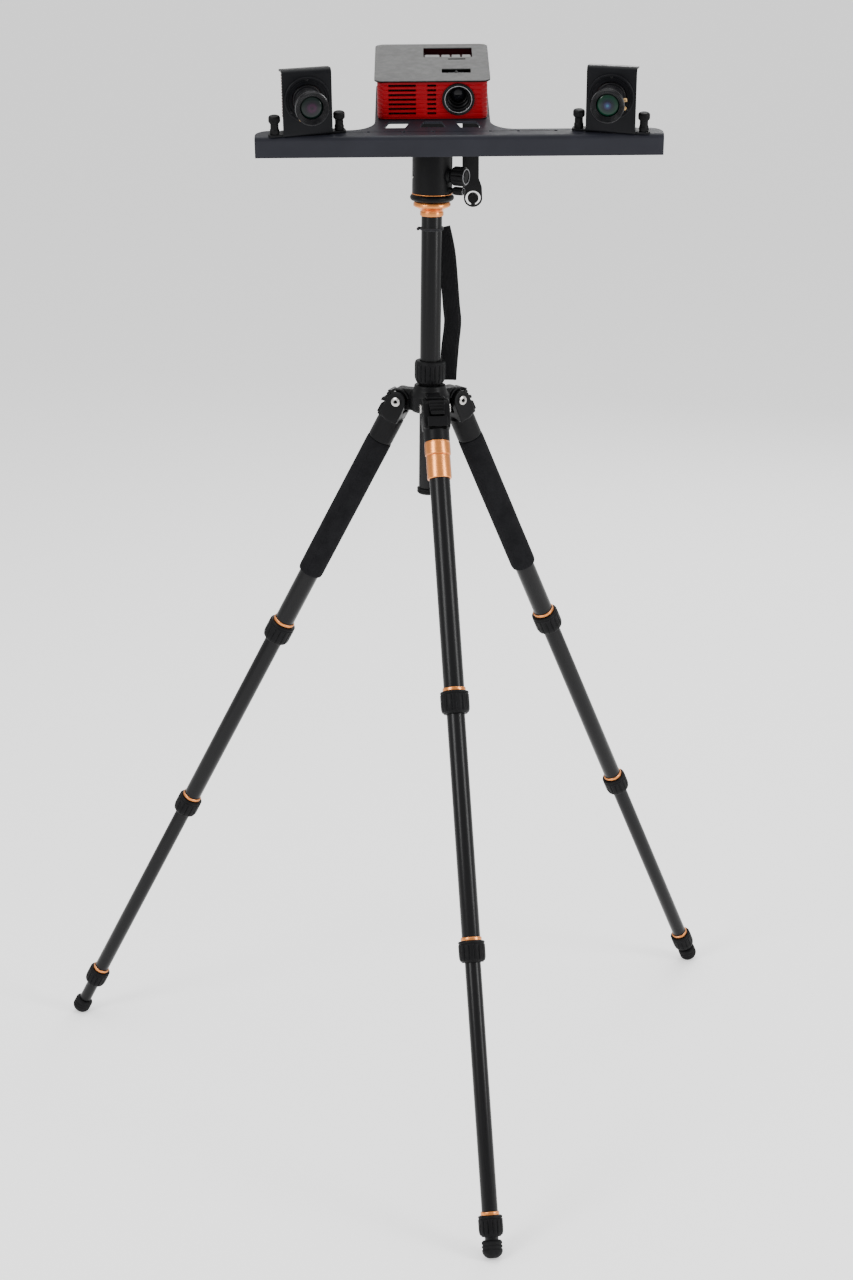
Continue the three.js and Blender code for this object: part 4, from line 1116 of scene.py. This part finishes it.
def projector_case():
    """The red shell: a ribbed wall, open at the top, with two columns of vents and the lens bore."""
    bm = bmesh.new()
    heights = [BODY_LOW + i * 0.5 for i in range(int((BODY_TOP - BODY_LOW) / 0.5) + 1)] + [BODY_TOP]
    loops = [[(x, y, z) for x, y in case_outline(case_inset(z))] for z in heights]
    floor = BODY_LOW + BODY_WALL
    loops += [[(x, y, z) for x, y in case_outline(BODY_WALL + 0.3)] for z in (BODY_TOP, floor)]
    rings = [[bm.verts.new(point) for point in loop] for loop in loops]
    for low, high in zip(rings, rings[1:]):
        for k in range(len(low)):
            j = (k + 1) % len(low)
            bm.faces.new([low[k], low[j], high[j], high[k]])
    bm.faces.new(rings[0][::-1])
    bm.faces.new(rings[-1])
    case = bpy.data.objects.new("case_blank", new_mesh("case_blank", bm))
    cutter = bmesh.new()
    for row in range(VENT_ROWS):
        low = BODY_LOW + VENT_LOW + row * VENT_PITCH - 0.2
        high = low + VENT_HEIGHT + 0.4
        for left, right in VENT_COLUMNS:
            slot = rounded([(left, low), (right, low), (right, high), (left, high)], 0.6, True)
            prism(cutter, [slot], BODY_FRONT - 2, BODY_FRONT + BODY_WALL + 2, side)
    bore = Matrix.Translation((LENS_X, BODY_FRONT - 2, BEAM_Z)) @ Matrix.Rotation(-math.pi / 2, 4, "X")
    revolve(cutter, [(0, 0), (BEAM_RADIUS + 0.3, 0), (BEAM_RADIUS + 0.3, 6), (0, 6)], 96, turn=bore)
    tool = bpy.data.objects.new("case_cutter", new_mesh("case_cutter", cutter))
    for obj in (case, tool):
        bpy.context.scene.collection.objects.link(obj)
    opening = case.modifiers.new("openings", "BOOLEAN")
    opening.operation, opening.solver, opening.object = "DIFFERENCE", "EXACT", tool
    applied(case)
    bpy.data.objects.remove(tool)
    case.name = "projector_case"
    case.data.shade_smooth()
    case.data.set_sharp_from_angle(angle=math.radians(40))
    case.data.materials.clear()
    case.data.materials.append(MATERIALS["red_case"])
    case.matrix_world = SCANNER
    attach(case, "scanner")
    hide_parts("projector_body")


def case_insides():
    """What shows through the vents: a near-black sheet close behind them, painted shade inside the openings,
    and the light engine's block.
    """
    floor = BODY_LOW + BODY_WALL
    engine = bmesh.new()
    block(engine, (-52, 2, floor + 0.1), (54, 96, floor + 28))
    as_piece("light_engine_block", engine, SCANNER, "deep_black", "scanner", bevel=1.5)
    # A near-black sheet just behind the vent slots: painted shade, so the openings look dark.
    vent_shade_liner = bmesh.new()
    behind = BODY_FRONT + BODY_WALL + 0.4
    for left, right in VENT_COLUMNS:
        block(vent_shade_liner, (left - 2, behind, BODY_LOW + 4), (right + 2, behind + 0.8, BODY_TOP - 3))
    as_piece("vent_shadow_sheet", vent_shade_liner, SCANNER, "deep_black", "scanner", bevel=0.2)


def corners_of(box, grow=0.0):
    left, front, right, rear = box
    return [(left - grow, front - grow), (right + grow, front - grow), (right + grow, rear + grow),
            (left - grow, rear + grow)]


def tray(name, box, depth, material):
    """The walls and floor of a recess in the cover, in a darkened material that paints the shade inside the
    recess.
    """
    bm = bmesh.new()
    top = BODY_TOP + 0.6
    rings = []
    for grow, z in ((1.2, top), (1.2, top - depth), (0.15, top - depth + 1), (0.15, top)):
        rings.append([bm.verts.new((x, y, z)) for x, y in corners_of(box, grow)])
    bm.faces.new(rings[1][::-1])
    bm.faces.new(rings[2])
    for low, high in ((rings[0], rings[1]), (rings[3], rings[2]), (rings[0], rings[3])):
        for k in range(4):
            j = (k + 1) % 4
            bm.faces.new([low[k], low[j], high[j], high[k]])
    as_piece(name, bm, SCANNER, material, "scanner", bevel=0.2)


def cover():
    """The grey lid over a black under-tray, whose dark edge is also painted shadow under the lid, with its
    two openings and a slim black strip painted as the shadow of a groove.
    """
    low, high = BODY_TOP + 0.3, BODY_TOP + 0.3 + COVER_SHEET
    split = high - 1.0
    outer = (-COVER_HALF, COVER_FRONT, COVER_HALF, COVER_REAR)
    holes = [rounded(corners_of(box), 0.8, True) for box in (KEYPAD, FOCUS_SLOT)]
    bm = bmesh.new()
    prism(bm, [rounded_rectangle(*outer, COVER_CORNER, 12), *holes], split, high)
    as_piece("projector_lid", bm, SCANNER, "grey_cover", "scanner", "projector_cover", bevel=0.4)
    # The under-tray's near-black edge stands for the lid's dark rim and also paints the shadow under the lid.
    under = bmesh.new()
    inset = 0.15
    inner = (outer[0] + inset, outer[1] + inset, outer[2] - inset, outer[3] - inset)
    wide = [corners_of(box, 1.3) for box in (KEYPAD, FOCUS_SLOT)]
    prism(under, [rounded_rectangle(*inner, COVER_CORNER - inset, 12), *wide], low - 0.2, split - 0.05)
    as_piece("projector_lid_tray_and_shadow", under, SCANNER, "deep_black", "scanner", "projector_cover")
    # Both recesses are lined with painted shade: the keypad's in a darkened red, the focus slot's in
    # near-black.
    tray("keypad_recess_shade", KEYPAD, 7.4, "shaded_red")
    tray("focus_recess_shade", FOCUS_SLOT, 6.5, "deep_black")
    # No groove is cut: a near-black strip on the lid paints the shadow of a slim groove.
    groove = bmesh.new()
    outline = rounded(corners_of((19, 40.6, 40, 44.6)), 1.4, True)
    prism(groove, [outline], high - 0.3, high + 0.1)
    as_piece("projector_lid_groove_shadow", groove, SCANNER, "deep_black", "scanner", bevel=0.1)


def projector_keys():
    """Four keys, a wide one and three narrow ones, sunk a little below the lid."""
    gap, side_gap, travel = 0.5, 0.9, 1.2
    left = KEYPAD[0] + gap
    bottom = BODY_TOP - KEYPAD_DROP + SHELF_SHEET + travel + 0.3
    top = BODY_TOP + 0.3 + COVER_SHEET - KEY_SUNK
    for i, width in enumerate(KEY_WIDTHS):
        bm = bmesh.new()
        right = left + width - gap
        outline = corners_of((left + side_gap, KEY_FRONT, right - side_gap, KEY_REAR))
        prism(bm, [rounded(outline, 1.2, True)], bottom, top)
        as_piece(f"menu_key_{i + 1}", bm, SCANNER, "key_plastic", f"projector_key_{i + 1}",
                 f"projector_key_{i + 1}", bevel=0.8)
        left += width


def focus_tab():
    middle, under = (FOCUS_SLOT[0] + FOCUS_SLOT[2]) / 2, BODY_TOP - 1
    bm = bmesh.new()
    tip = [(middle - 1.9, under - 2), (middle + 1.9, under - 2), (middle + 1.5, BODY_TOP + COVER_SHEET + 1),
           (middle - 1.5, BODY_TOP + COVER_SHEET + 1)]
    prism(bm, [rounded(tip, 0.8, True)], -10.6, -7.6, side)
    runner = [(middle - 9, under - 1.6), (middle + 9, under - 1.6), (middle + 9, under), (middle - 9, under)]
    prism(bm, [rounded(runner, 0.4, True)], -11.6, 2.6, side)
    as_piece("focus_slider", bm, SCANNER, "optic_black", "focus_tab", "focus_tab", bevel=0.3)


def projector_optics():
    """A fixed bezel, the focusing barrel with its stepped funnel, and the glass deep inside it."""
    place = at(SCANNER, LENS_X, BODY_FRONT, BEAM_Z, (0, -1, 0))
    r = BEAM_RADIUS
    bezel = [(r + 0.35, -1.6, 0), (r + 2.7, -1.6, 0), (r + 2.7, 1.6, 1), (r + 2, 2.5), (r + 0.9, 2.5),
             (r + 0.35, 1.9), (r + 0.35, -1.6, 0)]
    turned_piece("projector_bezel", bezel, place, "optic_black", "scanner", steps=120)
    back = -BEAM_DEPTH + 1
    barrel = [(0, back), (r, back, 0), (r, 0.6), (r - 0.3, 1), (r - 0.9, 1), (r - 1.3, 0.2), (r - 1.7, -3.5),
              (r - 3.2, -4), (r - 3.8, -9), (r - 5.2, -9.6), (r - 5.8, -15), (r - 7, -15.5), (r - 7.6, -21),
              (0, -21)]
    turned_piece("projector_lens_barrel", barrel, place, "optic_black", "projector_lens", "projector_lens",
                 120, reach=0.3)
    rim = [(r - 1.1, 0.7, 0), (r - 0.2, 0.7), (r - 0.2, 1.5), (r - 1.0, 1.5), (r - 1.1, 0.7, 0)]
    turned_piece("projector_lens_rim", rim, place, "rim_metal", "projector_lens", steps=120, reach=0.2)
    glass = [(8.4, -20.9, 0)] + [(8.4 * math.cos(a), -20.9 + 3.4 * math.sin(a), 0)
                                 for a in [math.pi / 2 * k / 10 for k in range(1, 11)]]
    glass.insert(0, (0, -20.9))
    turned_piece("projector_front_glass", glass, place, "glass_projector", "projector_lens", steps=96,
                 reach=0)


# ---- cameras ------------------------------------------------------------------------------------


def camera_bracket(side_name):
    """Sheet bent back at its top and foot, with screw ears."""
    bm = bmesh.new()
    half, height, bend = CAMERA_HALF, CAMERA_HEIGHT, 6
    front = [(-half, 4), (half, 4), (half, height - bend), (-half, height - bend)]
    loops = [front, ring_of(0, LENS_Z, LENS_HOLE + 0.4, 64)]
    edges_of, top, low = [], None, None
    for loop in loops:
        corners = [bm.verts.new((x, 0, z)) for x, z in loop]
        top = top or corners[2:4]
        low = low or corners[:2]
        edges_of += [bm.edges.new(pair) for pair in zip(corners, corners[1:] + corners[:1])]
    bmesh.ops.triangle_fill(bm, use_beauty=True, edges=edges_of)
    slope = math.radians(CAMERA_SLOPE)
    turns = [math.radians((90 + CAMERA_SLOPE) * i / 7) for i in range(1, 8)]
    profile = [(bend * (1 - math.cos(a)), height - bend + bend * math.sin(a)) for a in turns]
    flat = CAMERA_TOP - profile[-1][0]
    profile.append((CAMERA_TOP, profile[-1][1] - flat * math.tan(slope)))
    right, left = top
    for y, z in profile:
        row = [bm.verts.new((x, y, z)) for x in (half, -half)]
        bm.faces.new([left, right, row[0], row[1]])
        right, left = row
    left, right = low
    for y, z in ((0.5, 1.8), (1.6, 0.6), (3, 0.3), (CAMERA_BASE, 0.3)):
        row = [bm.verts.new((x, y, z)) for x in (-half, half)]
        bm.faces.new([left, right, row[1], row[0]])
        left, right = row
    bmesh.ops.recalc_face_normals(bm, faces=bm.faces)
    face = max(bm.faces, key=lambda f: abs(f.normal.y) * f.calc_area())
    if face.normal.y > 0:
        bmesh.ops.reverse_faces(bm, faces=bm.faces)
    place = CAMERA[side_name]
    sheet_piece(f"{side_name}_camera_shield", bm, place, "camera_sheet", "scanner",
                f"camera_bracket_{side_name}", CAMERA_SHEET, 0.45)
    for sign in (-1, 1):
        ear = bmesh.new()
        reach = sign * (SCREW_X + 7.5)
        outline = [(sign * (half - 3), 3), (reach, 3, 4), (reach, 15, 4), (sign * (half - 3), 15)]
        prism(ear, [rounded(outline, 0, True)], 0.3, 0.3 + CAMERA_SHEET)
        which = "outer" if sign == SIDES[side_name] else "inner"
        as_piece(f"{side_name}_camera_ear_{which}", ear, place, "camera_sheet", "scanner", bevel=0.4)
    ring = [(LENS_HOLE + 0.6, -0.6, 0), (LENS_RING, -0.6, 0), (LENS_RING, 1.2), (LENS_RING - 0.7, 1.9),
            (LENS_RING - 2.2, 1.9), (LENS_RING - 2.6, 1.1), (LENS_RING - 4.6, 1.1), (LENS_RING - 5, 0.4),
            (LENS_HOLE + 0.6, 0.4), (LENS_HOLE + 0.6, -0.6, 0)]
    front_place = at(place, 0, 0, LENS_Z, (0, -1, 0))
    turned_piece(f"{side_name}_camera_mount_ring", ring, front_place, "camera_sheet", "scanner", steps=128,
                 reach=0.25)
    nose = [(0, -CAMERA_SHEET), (LENS_HOLE - 0.2, -CAMERA_SHEET, 0), (LENS_HOLE - 0.2, 1.4),
            (LENS_HOLE - 1, 2), (0, 2)]
    turned_piece(f"{side_name}_camera_nose", nose, front_place, "lens_black", "scanner", steps=96)
    for i, angle in enumerate((90, 215, 325)):
        turn = math.radians(angle)
        x, z = (LENS_RING - 3.4) * math.cos(turn), (LENS_RING - 3.4) * math.sin(turn)
        socket_bolt(f"{side_name}_camera_ring_screw_{i + 1}", at(place, x, -1.1, LENS_Z + z, (0, -1, 0)),
                    1.5, 0.9, "scanner", "lens_black")


def camera_housing(side_name):
    """The camera's body behind the shield: a block with cooling fins down both sides."""
    half, low, high, fin, pitch = 24.5, 14, 67, 1.6, 3.4
    bm = bmesh.new()
    points = [(-half, low), (half, low)]
    rows = int((high - low) / pitch)
    fins = []
    for i in range(rows):
        z = low + (i + 0.5) * pitch
        fins += [(z, half), (z, half - fin), (z + pitch * 0.45, half - fin), (z + pitch * 0.45, half)]
    points += [(x, z) for z, x in fins] + [(half, high), (-half, high)]
    points += [(-x, z) for z, x in reversed(fins)]
    prism(bm, [rounded(points, 0.3, True, 2)], CAMERA_SHEET + 0.3, CAMERA_SHEET + 34.3, side)
    place = CAMERA[side_name]
    as_piece(f"{side_name}_camera_housing", bm, place, "fin_red", "scanner", f"camera_body_{side_name}",
             bevel=0.25)
    rear = bmesh.new()
    plate = corners_of((-half + 3, low + 4, half - 3, high - 4))
    prism(rear, [rounded(plate, 2, True)], CAMERA_SHEET + 34, CAMERA_SHEET + 35.6, side)
    as_piece(f"{side_name}_camera_rear_plate", rear, place, "black_casting", "scanner", bevel=0.5)
    socket = bmesh.new()
    mouth = rounded([(-7, 34), (7, 34), (7, 42), (-7, 42)], 1.2, True)
    hole = rounded([(-5.6, 35.4), (5.6, 35.4), (5.6, 40.6), (-5.6, 40.6)], 0.8, True)
    prism(socket, [mouth, hole], CAMERA_SHEET + 35.5, CAMERA_SHEET + 38, side)
    as_piece(f"{side_name}_camera_socket", socket, place, "rim_metal", "scanner", bevel=0.3)


BRASS_SCREWS = {"left": ((125, 20),), "right": ((28, 8.5), (-12, 20))}


def camera_lens(side_name):
    """A stepped, knurled barrel with a deep front rim, baffle rings and coated glass."""
    place = at(CAMERA[side_name], 0, -2.3, LENS_Z, (0, -1, 0))
    body, n = f"camera_lens_{side_name}", LENS_LENGTH
    profile = [(0, 0), (15.5, 0), (15.5, 5.2), (14.6, 5.8), (14.2, 6.4), (14.2, 9.4), (16.2, 10),
               (16.6, 10.6), (16.6, 17), (16.1, 17.3), (16.1, 18), (16.6, 18.3), (16.6, 21),
               (15.6, 21.8), (15.6, 24),
               (17.6, 25.2), (19, 27, 0.8), (19, n - 0.9), (18.4, n), (17.4, n), (16.9, n - 1.6),
               (16.2, n - 1.8), (15.7, n - 3.4), (14.9, n - 3.6), (14.4, n - 5), (13.6, n - 5.2),
               (13.2, n - 7.4), (0, n - 7.4)]
    turned_piece(f"{side_name}_lens_barrel", profile, place, "lens_black", body, body, 200,
                 ribs(50, 0.35, 10.8, 16.8, 16, 2), step=0.9, reach=0.25)
    glass = [(0, n - 7.3)] + [(13.3 * math.sin(a), n - 7.2 + 3.2 * math.cos(a) ** 1.2, 0)
                              for a in [math.pi / 2 * (1 - k / 14) for k in range(14)]] + [(0, n - 4)]
    turned_piece(f"{side_name}_lens_front_glass", glass, place, f"glass_{side_name}", body, steps=96, reach=0)
    line = [(19.02, 29.2, 0), (19.14, 29.2, 0), (19.14, 29.7, 0), (19.02, 29.7, 0), (19.02, 29.2, 0)]
    turned_piece(f"{side_name}_lens_line", line, place, "rim_metal", body, steps=96, reach=0)
    for i, (angle, height) in enumerate(BRASS_SCREWS[side_name]):
        turn = math.radians(angle)
        out = Vector((math.cos(turn), -math.sin(turn), 0))
        spot = place @ Matrix.Translation(Vector((out.x * 15.4, out.y * 15.4, height)) * MM)
        spot = spot @ Vector((0, 0, 1)).rotation_difference(out).to_matrix().to_4x4()
        pin = [(0, 0), (1.1, 0, 0), (1.1, 1.4), (2.1, 1.8), (2.1, 5.2), (1.6, 5.7), (0, 5.7)]
        turned_piece(f"{side_name}_lens_brass_screw_{i + 1}", pin, spot, "brass", body, steps=48,
                     shape=ribs(12, 0.25, 1.9, 5.1, 1.9, 2), step=0.5, reach=0.25)


def thumb_screw(side_name, which):
    """A thumb screw: a foot collar, a short neck, and a mushroom head knurled along its side."""
    foot_z = 0.6 + CAMERA_SHEET
    sign = SIDES[side_name] * (1 if which == "outer" else -1)
    profile = [(0, 0), (5.4, 0), (5.5, 1), (5.5, 4.6), (4.9, 5.6), (4.8, 6.4), (4.8, 11.6), (5.6, 12.6, 1),
               (6.8, 13.8, 0.8), (6.8, 18.8), (6.2, 20.4, 0.9), (4.8, 21), (0, 21)]
    turned_piece(f"{side_name}_camera_thumb_screw_{which}", profile,
                 at(CAMERA[side_name], sign * SCREW_X, SCREW_Y, foot_z), "lock_rubber",
                 f"thumb_screw_{side_name}_{which}", f"thumb_screw_{side_name}_{which}", 144,
                 ribs(24, 0.4, 13.4, 19.4, 6.3, 2), step=0.8, reach=0.35)


# ---- stage --------------------------------------------------------------------------------------


def floor():
    bm = bmesh.new()
    reach = 60.0
    bm.faces.new([bm.verts.new((x * reach, y * reach, 0)) for x, y in ((-1, -1), (1, -1), (1, 1), (-1, 1))])
    mesh = bpy.data.meshes.new("floor")
    bm.to_mesh(mesh)
    bm.free()
    obj = bpy.data.objects.new("floor", mesh)
    bpy.context.scene.collection.objects.link(obj)
    material, tree, shader = blank("pale_floor")
    shader.inputs["Base Color"].default_value = (0.9, 0.9, 0.9, 1)
    shader.inputs["Roughness"].default_value = 0.8
    shader.inputs["Emission Color"].default_value = (1, 1, 1, 1)
    shader.inputs["Emission Strength"].default_value = 0.45
    obj.data.materials.append(material)


def area_light(name, place, target, size, watts, tint=(1, 1, 1)):
    data = bpy.data.lights.new(name, "AREA")
    data.shape, data.size, data.size_y, data.energy, data.color = "RECTANGLE", size[0], size[1], watts, tint
    obj = bpy.data.objects.new(name, data)
    obj.location = place
    obj.rotation_euler = (Vector(target) - Vector(place)).to_track_quat("-Z", "Y").to_euler()
    bpy.context.scene.collection.objects.link(obj)


def studio():
    world = bpy.data.worlds.new("studio")
    world.use_nodes = True
    world.node_tree.nodes["Background"].inputs[0].default_value = (1, 1, 1, 1)
    world.node_tree.nodes["Background"].inputs[1].default_value = 0.9
    bpy.context.scene.world = world
    middle = (0, 0, 0.9)
    area_light("key", (-2.4, -2.2, 2.6), middle, (1.2, 2.2), 95)
    area_light("side", (2.6, -1.4, 1.8), middle, (0.8, 2.2), 70)
    area_light("top", (0, 0.4, 3.4), middle, (2.4, 2.4), 60)
    area_light("rear", (1.2, 3.2, 2.2), middle, (1.6, 1.6), 45)


CAMERA_SPOT = (0.0745, -2.9583, 1.5464)
CAMERA_PITCH, CAMERA_YAW, CAMERA_ROLL = 17.414, -0.212, -1.249  # degrees
CAMERA_LENS = 71.04  # mm, on a 36 mm long side


def camera():
    pitch, yaw, roll = (math.radians(a) for a in (CAMERA_PITCH, CAMERA_YAW, CAMERA_ROLL))
    look = Vector((math.sin(yaw) * math.cos(pitch), math.cos(yaw) * math.cos(pitch), -math.sin(pitch)))
    level = look.cross(Vector((0, 0, 1))).normalized()
    upright = level.cross(look)
    right = level * math.cos(roll) + upright * math.sin(roll)
    up = upright * math.cos(roll) - level * math.sin(roll)
    data = bpy.data.cameras.new("camera")
    data.sensor_width, data.lens, data.clip_start, data.clip_end = 36, CAMERA_LENS, 0.1, 200
    obj = bpy.data.objects.new("camera", data)
    obj.matrix_world = rigid(Vector(CAMERA_SPOT), right, up, -look)
    bpy.context.scene.collection.objects.link(obj)
    bpy.context.scene.camera = obj


# ---- the whole object ---------------------------------------------------------------------------

camera()
for one_leg in LEGS:
    build_leg(one_leg)
hub()
column()
column_lock()
strap_cord()
wrist_strap()
head_base()
head_housing()
lock_knob("ball_lock_fluted_knob", "ball_lock_knob", BALL_KNOB, 11)
lock_knob("pan_lock_fluted_knob", "pan_lock_knob", PAN_KNOB, 8)
ball()
head_clamp()
t_plate()
cable_arm()
projector_case()
case_insides()
cover()
projector_keys()
focus_tab()
projector_optics()
for one_side in SIDES:
    camera_bracket(one_side)
    camera_housing(one_side)
    camera_lens(one_side)
    for one_screw in ("outer", "inner"):
        thumb_screw(one_side, one_screw)
floor()
studio()
